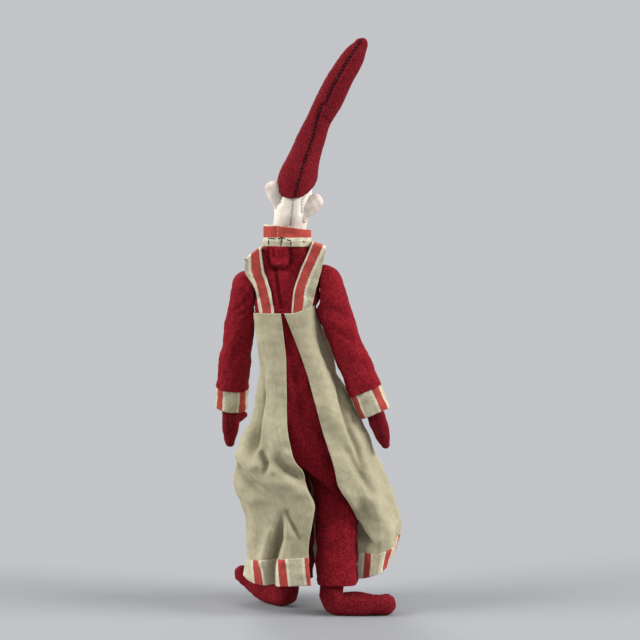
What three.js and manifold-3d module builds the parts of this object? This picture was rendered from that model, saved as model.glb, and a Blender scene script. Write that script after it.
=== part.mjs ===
// A pixie doll: a stuffed cloth figure in a red wool suit, a canvas pinafore that is open down the
// back, striped ticking trim and a tall stuffed hat. Millimetres, +Z up, the face looks along -Y.
import * as THREE from "three";
import { mergeVertices } from "three/addons/utils/BufferGeometryUtils.js";
import Module from "manifold-3d";

const wasm = await Module();
wasm.setup();

const { degToRad, lerp, smoothstep } = THREE.MathUtils;

// Cloths and clearances.
const GAP = 0.4;
const WOOL = 1.0;
const CANVAS = 0.9;
const TICKING = 1.2;

// Levels above the ground.
const TROUSER_HEM_Z = 17;
const PINAFORE_HEM_Z = 21;
const CROTCH_Z = 98;
const WAIST_Z = 190;
const SHOULDER_Z = 204;
const NECK_Z = 229;

// Where the body stands in the frame.
const BODY_Y = 6;

// Body, measured over the suit.
const SPINE_X = 13;
const CHEST_HALF_WIDTH = 20;
const CHEST_HALF_DEPTH = 11.5;
const WAIST_HALF_WIDTH = 17;
const WAIST_HALF_DEPTH = 11.5;
const SEAT_HALF_WIDTH = 23;
const SEAT_HALF_DEPTH = 14.5;
const SEAT_X = 0;
const SEAT_DROP = 10;

// Arms.
const SHOULDER_OFFSET = 23.5;
const SLEEVE_LENGTH = 70;
const SLEEVE_CAP = 10.5;
const SLEEVE_ELBOW = 9.6;
const SLEEVE_END = 11;
const CUFF_LENGTH = 12.5;
const MITTEN_LENGTH = 36;
const MITTEN_HALF_WIDTH = 5.2;
const CUFF_END = 9.6;
const LEFT_ARM = { out: 9, forward: 20, bow: 1.5, handOut: 3, thumb: [-1, -0.4], side: 1 };
const RIGHT_ARM = { out: 21.5, forward: -4, bow: 0, handOut: 22, thumb: [0, -1], side: -1 };

// Legs.
const HIP_OFFSET = 10;
const THIGH = 10.1;
const ANKLE = 7.5;
const FOOT_LENGTH = 48;
const FOOT_HALF_HEIGHT = 6.5;
const SOLE_CUT = 0.5;
const TROUSER_HALF_WIDTH = 12.6;
const LEFT_LEG = { ankleX: 13.5, ankleY: -5, hemX: 13.5, heading: -36, toeLift: 7, side: 1 };
const RIGHT_LEG = { ankleX: -15, ankleY: 14, hemX: -18, heading: 180, toeLift: 0, side: -1 };

// Head and hat.
const NECK_HALF_WIDTH = 9.4;
const HEAD_HEIGHT = 47;
const HAT_RIM = 12.2;
const HAT_WAIST = 7.1;
const HAT_RIM_DIP = 6;
const HAT_FOOT = { x: 6.3, z: 268 };
const HAT_BEND = { x: -6.3, z: 307 };
const HAT_TOP = { x: -32.5, z: 354.5 };

// Collar and pinafore.
const COLLAR_HEIGHT = 11.5;
const COLLAR_TILT = 4;
const HEM_BAND_HEIGHT = 19;
const PINAFORE_FLARE = 28;
const HEM_LIFT = 15;
const FOLD_COUNT = 9;
const FOLD_HEIGHT = 1.6;

const point = (x, y, z) => new THREE.Vector3(x, y, z);

// A sine or cosine drawn out towards a squarer outline.
const rounded = (wave, square) => Math.sign(wave) * Math.abs(wave) ** (2 / square);

// A smooth curve through [at, value] stations, read at any place between the first and the last.
function through(stations) {
  const slope = (i) => {
    const before = stations[Math.max(i - 1, 0)];
    const after = stations[Math.min(i + 1, stations.length - 1)];
    return (after[1] - before[1]) / (after[0] - before[0]);
  };
  return (at) => {
    const last = stations.length - 2;
    let i = 0;
    while (i < last && at > stations[i + 1][0]) i += 1;
    const span = stations[i + 1][0] - stations[i][0];
    const s = THREE.MathUtils.clamp((at - stations[i][0]) / span, 0, 1);
    const start = (1 + 2 * s) * (1 - s) ** 2 * stations[i][1] + s * (1 - s) ** 2 * span * slope(i);
    const end = s * s * (3 - 2 * s) * stations[i + 1][1] + s * s * (s - 1) * span * slope(i + 1);
    return start + end;
  };
}

// Indexed triangles as a geometry whose faces point out.
function closedGeometry(points, triangles) {
  const geometry = new THREE.BufferGeometry();
  geometry.setAttribute("position", new THREE.Float32BufferAttribute(points.flatMap((p) => [p.x, p.y, p.z]), 3));
  let volume = 0;
  for (const [a, b, c] of triangles) {
    volume += points[a].dot(points[b].clone().cross(points[c]));
  }
  geometry.setIndex(triangles.flatMap(([a, b, c]) => (volume > 0 ? [a, b, c] : [a, c, b])));
  return geometry;
}

// Two triangles for each cell between neighbouring rows of points.
function gridTriangles(rows, columns, closed, first) {
  const triangles = [];
  const cells = closed ? columns : columns - 1;
  for (let i = 0; i < rows - 1; i += 1) {
    for (let j = 0; j < cells; j += 1) {
      const a = first + i * columns + j;
      const b = first + i * columns + ((j + 1) % columns);
      triangles.push([a, b, b + columns], [a, b + columns, a + columns]);
    }
  }
  return triangles;
}

// A stuffed solid through closed rings of points; each end closes on its own pole.
function loft(rings, startPole, endPole) {
  const sides = rings[0].length;
  const points = rings.flat();
  const triangles = gridTriangles(rings.length, sides, true, 0);
  const start = points.push(startPole) - 1;
  const end = points.push(endPole) - 1;
  const top = (rings.length - 1) * sides;
  for (let j = 0; j < sides; j += 1) {
    const next = (j + 1) % sides;
    triangles.push([start, next, j], [end, top + j, top + next]);
  }
  return closedGeometry(points, triangles);
}

// A cloth of some thickness between two grids of points; a closed cloth runs round as a tube.
function cloth(outer, inner, closed) {
  const rows = outer.length;
  const columns = outer[0].length;
  const points = [...outer.flat(), ...inner.flat()];
  const inside = rows * columns;
  const triangles = gridTriangles(rows, columns, closed, 0);
  for (const [a, b, c] of gridTriangles(rows, columns, closed, inside)) triangles.push([a, c, b]);
  const rim = (a, b) => triangles.push([a, b + inside, b], [a, a + inside, b + inside]);
  const cells = closed ? columns : columns - 1;
  for (let j = 0; j < cells; j += 1) {
    const next = (j + 1) % columns;
    rim(j, next);
    rim((rows - 1) * columns + next, (rows - 1) * columns + j);
  }
  if (!closed) {
    for (let i = 0; i < rows - 1; i += 1) {
      rim((i + 1) * columns, i * columns);
      rim(i * columns + columns - 1, (i + 1) * columns + columns - 1);
    }
  }
  return closedGeometry(points, triangles);
}

// A limb along a path: half sizes across and fore and aft at a share of the way, domed or flat ends.
function limb(path, halfWidth, halfDepth, { domes = [0, 0], sides = 14, steps = 8, square = 2, upright = false }) {
  const ring = (centre, along, width, depth) => {
    const across = point(0, 1, 0).cross(along).normalize();
    const aft = along.clone().cross(across).normalize();
    return Array.from({ length: sides }, (_, j) => {
      const angle = (j / sides) * 2 * Math.PI;
      const p = centre.clone().addScaledVector(across, width * rounded(Math.cos(angle), square));
      return p.addScaledVector(aft, depth * rounded(Math.sin(angle), square));
    });
  };
  const heading = (at) => (upright ? point(0, 0, 1) : path.getTangentAt(at));
  const rings = [];
  const dome = (at, depth, sign) => {
    const along = heading(at);
    return [0.3, 0.62, 0.86].map((cosine) => {
      const share = Math.sqrt(1 - (1 - cosine) ** 2);
      const centre = path.getPointAt(at).addScaledVector(along, sign * depth * (1 - cosine));
      return ring(centre, along, halfWidth(at) * share, halfDepth(at) * share);
    });
  };
  if (domes[0]) rings.push(...dome(0, domes[0], -1));
  for (let i = 0; i <= steps; i += 1) {
    const at = i / steps;
    rings.push(ring(path.getPointAt(at), heading(at), halfWidth(at), halfDepth(at)));
  }
  if (domes[1]) rings.push(...dome(1, domes[1], 1).reverse());
  const startPole = path.getPointAt(0).addScaledVector(heading(0), -domes[0]);
  const endPole = path.getPointAt(1).addScaledVector(heading(1), domes[1]);
  return loft(rings, startPole, endPole);
}

function solid(geometry) {
  const bare = geometry.clone();
  bare.deleteAttribute("normal");
  bare.deleteAttribute("uv");
  const merged = mergeVertices(bare, 1e-4);
  const vertProperties = new Float32Array(merged.attributes.position.array);
  const triVerts = new Uint32Array(merged.index.array);
  return new wasm.Manifold(new wasm.Mesh({ numProp: 3, vertProperties, triVerts }));
}

function surface(manifold) {
  const mesh = manifold.getMesh();
  const geometry = new THREE.BufferGeometry();
  geometry.setAttribute("position", new THREE.BufferAttribute(new Float32Array(mesh.vertProperties), 3));
  geometry.setIndex(new THREE.BufferAttribute(new Uint32Array(mesh.triVerts), 1));
  return geometry;
}

// A block on one side of an upright plane across X, from floor to hat.
function sideBlock(x, side) {
  const block = new THREE.BoxGeometry(400, 400, 800);
  block.translate(x + side * 200, 0, 0);
  return solid(block);
}

function ball(centre, radius) {
  const sphere = new THREE.SphereGeometry(radius, 24, 16);
  sphere.rotateX(Math.PI / 2);
  sphere.translate(centre.x, centre.y, centre.z);
  return solid(sphere);
}

// The suit's outline at a level: its centre, half sizes and squareness.
const suitCentre = through([
  [CROTCH_Z - SEAT_DROP, SEAT_X],
  [lerp(CROTCH_Z, WAIST_Z, 0.15), SEAT_X + 2],
  [lerp(CROTCH_Z, WAIST_Z, 0.57), SPINE_X - 4],
  [WAIST_Z, SPINE_X + 1.5],
  [SHOULDER_Z, SPINE_X],
  [NECK_Z, SPINE_X],
]);
const suitWidth = through([
  [CROTCH_Z - SEAT_DROP, SEAT_HALF_WIDTH],
  [lerp(CROTCH_Z, WAIST_Z, 0.15), SEAT_HALF_WIDTH],
  [lerp(CROTCH_Z, WAIST_Z, 0.57), WAIST_HALF_WIDTH + 2],
  [WAIST_Z, WAIST_HALF_WIDTH],
  [SHOULDER_Z, CHEST_HALF_WIDTH],
  [lerp(SHOULDER_Z, NECK_Z, 0.4), CHEST_HALF_WIDTH],
  [lerp(SHOULDER_Z, NECK_Z, 0.75), CHEST_HALF_WIDTH - 1.2],
  [NECK_Z, CHEST_HALF_WIDTH - 5.5],
]);
const suitDepth = through([
  [CROTCH_Z - SEAT_DROP, SEAT_HALF_DEPTH],
  [lerp(CROTCH_Z, WAIST_Z, 0.15), SEAT_HALF_DEPTH + 1],
  [lerp(CROTCH_Z, WAIST_Z, 0.57), WAIST_HALF_DEPTH + 2],
  [WAIST_Z, WAIST_HALF_DEPTH],
  [SHOULDER_Z, CHEST_HALF_DEPTH],
  [NECK_Z, CHEST_HALF_DEPTH],
]);
const SQUARENESS = 3;

// A ring of the body at a level, so far inside the suit's outer face.
function bodyRing(z, inside) {
  const sides = 24;
  const width = suitWidth(z) - inside;
  const depth = suitDepth(z) - inside;
  return Array.from({ length: sides }, (_, j) => {
    const angle = (j / sides) * 2 * Math.PI;
    const x = width * rounded(Math.sin(angle), SQUARENESS);
    return point(suitCentre(z) + x, depth * rounded(Math.cos(angle), SQUARENESS), z);
  });
}

const levels = (low, high, steps) => Array.from({ length: steps + 1 }, (_, i) => lerp(low, high, i / steps));

const seatLevels = levels(CROTCH_Z, WAIST_Z - GAP / 2, 6);
const chestLevels = levels(WAIST_Z + GAP / 2, NECK_Z, 6);

function suitTube(rows) {
  return cloth(rows.map((z) => bodyRing(z, 0)), rows.map((z) => bodyRing(z, WOOL)), true);
}

function torso() {
  const rings = [...seatLevels, ...chestLevels].map((z) => bodyRing(z, WOOL + GAP));
  return loft(rings, point(suitCentre(CROTCH_Z), 0, CROTCH_Z), point(SPINE_X, 0, NECK_Z));
}

// Armhole edge of the suit, and the end of the arm that meets the body through it.
const ARM_FACE = CHEST_HALF_WIDTH - WOOL;
const SLEEVE_FACE = CHEST_HALF_WIDTH + GAP;
const UPPER_ARM = SLEEVE_CAP - WOOL - GAP;
const ARMHOLE = Math.sqrt(UPPER_ARM ** 2 - (SHOULDER_OFFSET - CHEST_HALF_WIDTH) ** 2) + 2 * GAP;

function bodice() {
  const along = new THREE.CylinderGeometry(ARMHOLE, ARMHOLE, 4 * SHOULDER_OFFSET, 24);
  along.rotateZ(Math.PI / 2);
  along.translate(SPINE_X, 0, SHOULDER_Z);
  return surface(solid(suitTube(chestLevels)).subtract(solid(along)));
}

const trouserSeat = () => suitTube([CROTCH_Z - SEAT_DROP, ...seatLevels]);

// The line of an arm from the shoulder to the wrist.
function armPath({ out, forward, bow, side }) {
  const start = point(SPINE_X + side * SHOULDER_OFFSET, 0, SHOULDER_Z);
  const fall = Math.cos(degToRad(out)) * SLEEVE_LENGTH;
  const reach = point(side * Math.sin(degToRad(out)) * SLEEVE_LENGTH, -Math.sin(degToRad(forward)) * fall, 0);
  const end = start.clone().add(reach).add(point(0, 0, -Math.cos(degToRad(forward)) * fall));
  const middle = start.clone().lerp(end, 0.5).add(point(side * 2 * bow, 0, 0));
  return new THREE.QuadraticBezierCurve3(start, middle, end);
}

const sleeveWidth = through([[0, SLEEVE_CAP], [0.5, SLEEVE_ELBOW], [1, SLEEVE_END]]);
const sleeveDepth = through([[0, SLEEVE_CAP], [0.5, SLEEVE_ELBOW - 0.4], [1, SLEEVE_END - 1.8]]);

function sleeve(arm) {
  const path = armPath(arm);
  const inner = (outer) => (at) => outer(Math.min(at, 1)) - WOOL;
  const skin = limb(path, sleeveWidth, sleeveDepth, { domes: [SLEEVE_CAP, 0], sides: 18, steps: 7 });
  const hollow = limb(path, inner(sleeveWidth), inner(sleeveDepth), {
    domes: [SLEEVE_CAP - WOOL, 2],
    sides: 18,
    steps: 7,
  });
  const inboard = sideBlock(SPINE_X + arm.side * SLEEVE_FACE, -arm.side);
  return surface(solid(skin).subtract(solid(hollow)).subtract(inboard));
}

function stuffedArm(arm) {
  const radius = through([[0, UPPER_ARM], [0.13, UPPER_ARM - 3.4], [0.5, UPPER_ARM - 3.6], [1, UPPER_ARM - 3.8]]);
  const inboard = sideBlock(SPINE_X + arm.side * ARM_FACE, -arm.side);
  const form = limb(armPath(arm), radius, radius, { domes: [UPPER_ARM, 0], sides: 12, steps: 5 });
  return surface(solid(form).subtract(inboard));
}

// The straight line past the wrist, through the cuff.
function wristPath(arm, from, to) {
  const path = armPath(arm);
  const end = path.getPointAt(1);
  const along = path.getTangentAt(1);
  const start = end.clone().addScaledVector(along, from);
  return new THREE.LineCurve3(start, end.clone().addScaledVector(along, to));
}

function cuff(arm) {
  const width = (at) => lerp(SLEEVE_END, CUFF_END, at);
  const depth = (at) => lerp(SLEEVE_END, CUFF_END, at) - 1.4;
  const skin = limb(wristPath(arm, GAP, CUFF_LENGTH), width, depth, { sides: 18, steps: 1 });
  const thin = (outer) => () => outer(1) - TICKING;
  const bore = limb(wristPath(arm, GAP - 1, CUFF_LENGTH + 1), thin(width), thin(depth), { sides: 18, steps: 1 });
  return surface(solid(skin).subtract(solid(bore)));
}

function mitten(arm) {
  const start = wristPath(arm, GAP, CUFF_LENGTH).getPointAt(0);
  const knuckle = wristPath(arm, GAP, CUFF_LENGTH).getPointAt(1);
  const lean = degToRad(arm.handOut);
  const pitch = degToRad(arm.forward);
  const reach = MITTEN_LENGTH - CUFF_LENGTH;
  const fall = Math.cos(lean) * reach;
  const tip = point(arm.side * Math.sin(lean) * reach, -Math.sin(pitch) * fall, -Math.cos(pitch) * fall);
  const path = new THREE.QuadraticBezierCurve3(start, knuckle, knuckle.clone().add(tip));
  const width = through([
    [0, MITTEN_HALF_WIDTH - 0.6],
    [0.5, MITTEN_HALF_WIDTH],
    [0.8, MITTEN_HALF_WIDTH - 0.6],
    [1, MITTEN_HALF_WIDTH - 2.2],
  ]);
  const depth = (at) => width(at) * 0.8;
  const hand = limb(path, width, depth, { domes: [0, 3], sides: 12, steps: 7 });
  const root = path.getPointAt(0.5);
  const stretch = MITTEN_HALF_WIDTH + 1.2;
  const thumbEnd = root.clone().add(point(arm.thumb[0] * stretch, arm.thumb[1] * stretch, -2));
  const thumbSize = () => MITTEN_HALF_WIDTH * 0.5;
  const thumb = limb(new THREE.LineCurve3(root, thumbEnd), thumbSize, thumbSize, {
    domes: [0, 2.2],
    sides: 8,
    steps: 1,
  });
  return surface(solid(hand).add(solid(thumb)));
}

// The line of a leg from the hip to the ankle.
const HIP_Z = CROTCH_Z - GAP - THIGH - GAP - WOOL;
function legPath({ ankleY, side }, footX, foot) {
  const hip = point(SEAT_X + side * HIP_OFFSET, 0, HIP_Z);
  const ankle = point(footX, ankleY, FOOT_HALF_HEIGHT);
  const share = (HIP_Z - foot) / (HIP_Z - FOOT_HALF_HEIGHT);
  return new THREE.LineCurve3(hip, hip.clone().lerp(ankle, share));
}

// The flat side of each thigh at the crotch.
const inseam = (side) => sideBlock(SEAT_X + (side * GAP) / 2, -side);

function leg(shape) {
  const radius = through([[0, THIGH], [0.35, THIGH - 1.4], [1, ANKLE]]);
  const shin = limb(legPath(shape, shape.ankleX, FOOT_HALF_HEIGHT), radius, radius, {
    domes: [THIGH, FOOT_HALF_HEIGHT - 1],
    sides: 12,
    steps: 7,
  });
  const centreZ = FOOT_HALF_HEIGHT - SOLE_CUT;
  const heading = degToRad(shape.heading);
  const ahead = point(Math.cos(heading), Math.sin(heading), 0);
  const heel = point(shape.ankleX, shape.ankleY, centreZ).addScaledVector(ahead, -2);
  const toe = heel.clone().addScaledVector(ahead, FOOT_LENGTH - 2 * FOOT_HALF_HEIGHT).setZ(centreZ + shape.toeLift);
  const ball = heel.clone().lerp(toe, 0.55).setZ(centreZ);
  const path = new THREE.QuadraticBezierCurve3(heel, ball, toe);
  const size = through([[0, FOOT_HALF_HEIGHT], [0.5, FOOT_HALF_HEIGHT], [1, FOOT_HALF_HEIGHT - 0.5]]);
  const foot = limb(path, size, size, {
    domes: [FOOT_HALF_HEIGHT, FOOT_HALF_HEIGHT],
    sides: 16,
    steps: 5,
    square: 3,
  });
  const ground = new THREE.BoxGeometry(400, 400, 100);
  ground.translate(0, 0, -50);
  const whole = solid(shin).add(solid(foot)).subtract(inseam(shape.side));
  return surface(whole.subtract(solid(ground)));
}

function trouserLeg(shape) {
  const path = legPath(shape, shape.hemX, TROUSER_HEM_Z);
  const top = THIGH + GAP + WOOL;
  const width = through([[0, top], [0.3, TROUSER_HALF_WIDTH], [1, TROUSER_HALF_WIDTH]]);
  const depth = through([[0, top], [1, ANKLE + 2.5]]);
  const inner = (outer) => (at) => outer(at) - WOOL;
  const skin = limb(path, width, depth, { domes: [top, 0], sides: 18, steps: 6 });
  const hollow = limb(path, inner(width), inner(depth), { domes: [top - WOOL, 2], sides: 18, steps: 6 });
  return surface(solid(skin).subtract(solid(hollow)).subtract(inseam(shape.side)));
}

// The head from the neck to the crown, and so much larger all round.
const HEAD_Z = NECK_Z + GAP;
const headLine = through([[0, SPINE_X - 1], [0.35, SPINE_X - 2], [0.7, SPINE_X - 4], [1, SPINE_X - 6.5]]);
const headWidth = through([[0, 0], [0.36, 0.9], [0.7, 1.8], [1, -0.8]]);
const headDepth = through([[0, -0.4], [0.3, 0.4], [0.5, 2.2], [0.7, 2.8], [1, 0.2]]);

function head(larger = 0) {
  const dome = 8;
  const height = HEAD_HEIGHT - dome;
  const path = new THREE.CatmullRomCurve3(
    [0, 0.35, 0.7, 1].map((at) => point(headLine(at), 0, HEAD_Z + at * height)),
  );
  const width = (at) => NECK_HALF_WIDTH + headWidth(at) + larger;
  const depth = (at) => NECK_HALF_WIDTH + headDepth(at) + larger;
  return limb(path, width, depth, { domes: [0, dome + larger], sides: 18, steps: 8, upright: true });
}

function ear(from, to, root, end) {
  const path = new THREE.LineCurve3(point(from[0], 0, from[1]), point(to[0], 0, to[1]));
  const size = (at) => lerp(root, end, at);
  const form = limb(path, size, size, { domes: [0, end], sides: 10, steps: 3 });
  return surface(solid(form).subtract(solid(head(GAP))));
}

const leftEar = () => ear([SPINE_X + 3, NECK_Z + 24], [SPINE_X + 10, NECK_Z + 35], 4.4, 4.3);
const rightEar = () => ear([SPINE_X - 9, NECK_Z + 22], [SPINE_X - 17.5, NECK_Z + 27.5], 5.4, 4.6);

const bend = point(HAT_BEND.x, 0, HAT_BEND.z);

function hatBase() {
  const path = new THREE.LineCurve3(point(HAT_FOOT.x, 0, HAT_FOOT.z), bend);
  const width = through([[0, HAT_RIM], [0.35, HAT_RIM - 2.3], [0.7, HAT_WAIST + 1.2], [1, HAT_WAIST]]);
  const depth = (at) => width(at) + 1.4 * (1 - at);
  const form = limb(path, width, depth, { sides: 18, steps: 7 });
  const place = form.attributes.position;
  for (let i = 0; i < place.count; i += 1) {
    const share = (place.getZ(i) - HAT_FOOT.z) / (HAT_BEND.z - HAT_FOOT.z);
    const fade = THREE.MathUtils.clamp(1 - share, 0, 1.4) ** 2;
    place.setZ(i, place.getZ(i) - (HAT_RIM_DIP * fade * place.getY(i)) / HAT_RIM);
  }
  return surface(solid(form).subtract(solid(head(GAP))).subtract(ball(bend, HAT_WAIST + GAP)));
}

function hatTip() {
  const path = new THREE.LineCurve3(bend, point(HAT_TOP.x, 0, HAT_TOP.z));
  const width = through([[0, HAT_WAIST], [0.4, HAT_WAIST + 0.9], [0.75, HAT_WAIST], [1, HAT_WAIST - 2.6]]);
  return limb(path, width, width, { domes: [HAT_WAIST, 4], sides: 16, steps: 8 });
}

function collar() {
  const width = CHEST_HALF_WIDTH - 5.5 + GAP;
  const depth = CHEST_HALF_DEPTH + GAP + 1;
  const ring = (share, inside) =>
    Array.from({ length: 24 }, (_, j) => {
      const angle = (j / 24) * 2 * Math.PI;
      const x = (width - inside) * Math.sin(angle);
      const slope = (COLLAR_TILT * share * x) / (2 * width);
      return point(SPINE_X + x, (depth - inside) * Math.cos(angle), NECK_Z + GAP + COLLAR_HEIGHT * share + slope);
    });
  const rows = [0, 0.5, 1];
  return cloth(rows.map((s) => ring(s, 0)), rows.map((s) => ring(s, TICKING)), true);
}

// The pinafore's outline at a share of the way down and an angle from the back towards the left.
const pinaforeCentre = through([
  [0, SPINE_X + 1.5],
  [0.21, SPINE_X - 4.2],
  [0.39, SPINE_X - 8],
  [0.57, SPINE_X - 10.5],
  [0.72, SPINE_X - 19],
  [0.88, SPINE_X - 22],
  [1, SPINE_X - 21],
]);
const pinaforeWidth = through([[0, 0], [0.21, 0.12], [0.39, 0.46], [0.57, 0.91], [0.72, 0.98], [0.88, 1.02], [1, 0.96]]);
const pinaforeBack = through([[0, 0], [0.21, 0.14], [0.39, 0.3], [0.57, 0.44], [0.72, 0.48], [1, 0.46]]);
const pinaforeFront = through([[0, 0], [0.21, 0.14], [0.39, 0.34], [0.57, 0.54], [0.72, 0.66], [1, 0.74]]);
const leftEdge = through([[0, 7], [0.21, 13.5], [0.39, 17.5], [0.57, 6], [0.72, 4.5], [0.88, 11.5], [1, 7.5]]);
const rightEdge = through([[0, -3], [0.21, -17], [0.39, -19], [0.57, -23.5], [0.72, -31.5], [1, -34]]);

function pinaforePoint(share, across, inside) {
  const angle = degToRad(lerp(leftEdge(share), 360 + rightEdge(share), across));
  const depth = Math.cos(angle) > 0 ? pinaforeBack(share) : pinaforeFront(share);
  const clear = GAP + CANVAS - inside;
  const halfWidth = WAIST_HALF_WIDTH + clear + PINAFORE_FLARE * pinaforeWidth(share);
  const halfDepth = WAIST_HALF_DEPTH + clear + PINAFORE_FLARE * depth;
  const square = lerp(SQUARENESS, 2.2, smoothstep(share, 0, 0.3));
  const fold = FOLD_HEIGHT * smoothstep(share, 0.25, 0.8) * Math.cos(FOLD_COUNT * angle + 1.2 * share);
  const crease = -2 * Math.exp(-(((share - 0.66) / 0.05) ** 2)) * Math.max(0, Math.cos(angle + 0.6));
  const swell = fold + crease;
  const x = rounded(Math.sin(angle), square) * (halfWidth + swell);
  const y = rounded(Math.cos(angle), square) * (halfDepth + swell);
  const hem = PINAFORE_HEM_Z + HEM_LIFT * Math.max(0, -Math.sin(angle)) ** 1.5;
  return point(pinaforeCentre(share) + x, y, lerp(WAIST_Z, hem, share));
}

function pinaforeCloth(from, to, rows, columns, thickness) {
  const shares = levels(from, to, rows);
  const grid = (inside) =>
    shares.map((share) =>
      Array.from({ length: columns + 1 }, (_, j) => pinaforePoint(share, j / columns, inside)),
    );
  return cloth(grid(0), grid(thickness), false);
}

const BAND_SHARE = 1 - HEM_BAND_HEIGHT / (WAIST_Z - PINAFORE_HEM_Z);
const SEAM_SHARE = GAP / (WAIST_Z - PINAFORE_HEM_Z);
const pinaforeSkirt = () => pinaforeCloth(0, BAND_SHARE - SEAM_SHARE, 12, 40, CANVAS);
const hemBand = () => pinaforeCloth(BAND_SHARE, 1, 2, 40, TICKING);

// How far behind the spine a strap lies at a place: over the suit and over the sleeve's cap.
function strapDepth(x, z, side) {
  const width = Math.min(Math.abs((x - suitCentre(z)) / suitWidth(z)), 1);
  const onSuit = suitDepth(z) * (1 - width ** SQUARENESS) ** (1 / SQUARENESS);
  const over = x - SPINE_X - side * SHOULDER_OFFSET;
  const cap = SLEEVE_CAP ** 2 - over ** 2 - (z - SHOULDER_Z) ** 2;
  return Math.max(onSuit, Math.sqrt(Math.max(cap, 0)), CHEST_HALF_DEPTH * 0.62);
}

const STRAP_ARCH_Z = SHOULDER_Z + 9;
const STRAP_CLEAR = 1.5 * GAP;

// Half a strap, from the waist up to the top of the shoulder, behind or in front.
function halfStrap(side, { inner, outer, innerTop, outerTop }, lift) {
  const across = levels(0, 1, 4);
  const rest = (x, z) => strapDepth(x, z, side) + lift;
  const rows = levels(WAIST_Z + GAP / 2, STRAP_ARCH_Z, 5).map((z) =>
    across.map((s) => {
      const x = SPINE_X + lerp(inner(z), outer(z), s);
      return point(x, rest(x, z), z);
    }),
  );
  const foot = rows.at(-1);
  const arch = [0.25, 0.5, 0.75, 1].map((turn) =>
    across.map((s, j) => {
      const rise = Math.sin((turn * Math.PI) / 2) ** 0.7;
      const top = lerp(innerTop.z, outerTop.z, s) + lift;
      const x = lerp(foot[j].x, SPINE_X + lerp(innerTop.x, outerTop.x, s), rise);
      const z = lerp(STRAP_ARCH_Z, top, rise);
      const bow = foot[j].y * (1 - turn ** 2.6);
      return point(x, turn < 1 ? Math.max(bow, rest(x, z)) : 0, z);
    }),
  );
  return [...rows, ...arch];
}

// A strap from the waist at the back over the shoulder to the waist in front.
function strap(side, behind, ahead) {
  const whole = (lift) => {
    const front = halfStrap(side, ahead, lift).slice(0, -1).reverse();
    return [...halfStrap(side, behind, lift), ...front.map((row) => row.map((p) => point(p.x, -p.y, p.z)))];
  };
  return cloth(whole(STRAP_CLEAR + TICKING), whole(STRAP_CLEAR), false);
}

function strapEdges(side, low, middle, high, tops) {
  const edge = (j) => through([[WAIST_Z, side * low[j]], [WAIST_Z + 13, side * middle[j]], [STRAP_ARCH_Z, side * high[j]]]);
  const top = (j, drop) => ({ x: side * tops[j], z: NECK_Z + drop });
  return { inner: edge(0), outer: edge(1), innerTop: top(0, 1), outerTop: top(1, -6) };
}

const leftStrap = () =>
  strap(
    1,
    strapEdges(1, [8, 17.5], [10.5, 19.6], [14, 26], [16, 25.5]),
    strapEdges(1, [6, 16], [7, 17], [9, 19], [16, 25.5]),
  );
const rightStrap = () =>
  strap(
    -1,
    strapEdges(-1, [3, 14], [4.5, 17], [8, 21], [16, 24.5]),
    strapEdges(-1, [3, 14], [4.5, 16], [8, 19], [16, 24.5]),
  );

const FINISHES = {
  calico: { color: 0xdccfbf, roughness: 0.9 },
  wool: { color: 0x8c1f29, roughness: 0.95 },
  felt: { color: 0x86202a, roughness: 0.95 },
  canvas: { color: 0xb9b18f, roughness: 0.9 },
  ticking: { color: 0xc4b893, roughness: 0.85 },
};

const doll = new THREE.Group();
doll.name = "pixie_doll";

function place(name, geometry, finish) {
  geometry.translate(0, BODY_Y, 0);
  const mesh = new THREE.Mesh(geometry, new THREE.MeshStandardMaterial({ ...FINISHES[finish], metalness: 0 }));
  mesh.name = name;
  doll.add(mesh);
}

place("torso", torso(), "calico");
place("head", head(), "calico");
place("left_ear", leftEar(), "calico");
place("right_ear", rightEar(), "calico");
place("hat_base", hatBase(), "felt");
place("hat_tip", hatTip(), "felt");
place("bodice", bodice(), "wool");
place("trouser_seat", trouserSeat(), "wool");
place("collar_band", collar(), "ticking");
place("left_arm", stuffedArm(LEFT_ARM), "calico");
place("right_arm", stuffedArm(RIGHT_ARM), "calico");
place("left_sleeve", sleeve(LEFT_ARM), "wool");
place("right_sleeve", sleeve(RIGHT_ARM), "wool");
place("left_cuff", cuff(LEFT_ARM), "ticking");
place("right_cuff", cuff(RIGHT_ARM), "ticking");
place("left_mitten", mitten(LEFT_ARM), "felt");
place("right_mitten", mitten(RIGHT_ARM), "felt");
place("left_leg", leg(LEFT_LEG), "felt");
place("right_leg", leg(RIGHT_LEG), "felt");
place("left_trouser_leg", trouserLeg(LEFT_LEG), "wool");
place("right_trouser_leg", trouserLeg(RIGHT_LEG), "wool");
place("left_strap", leftStrap(), "ticking");
place("right_strap", rightStrap(), "ticking");
place("pinafore_skirt", pinaforeSkirt(), "canvas");
place("pinafore_hem_band", hemBand(), "ticking");

export default doll;
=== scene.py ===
"""Looks of a cloth pixie doll, seen from behind: felt, wool, canvas, calico and striped ticking.

Sizes are millimetres in the doll's own frame: +Z up, the face looks along -Y, the doll's left is +X.
A surface becomes metres when its mesh is made.
"""

import logging
import math
from dataclasses import dataclass, replace
from enum import Enum
from functools import cache
from typing import Callable, Sequence

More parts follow.
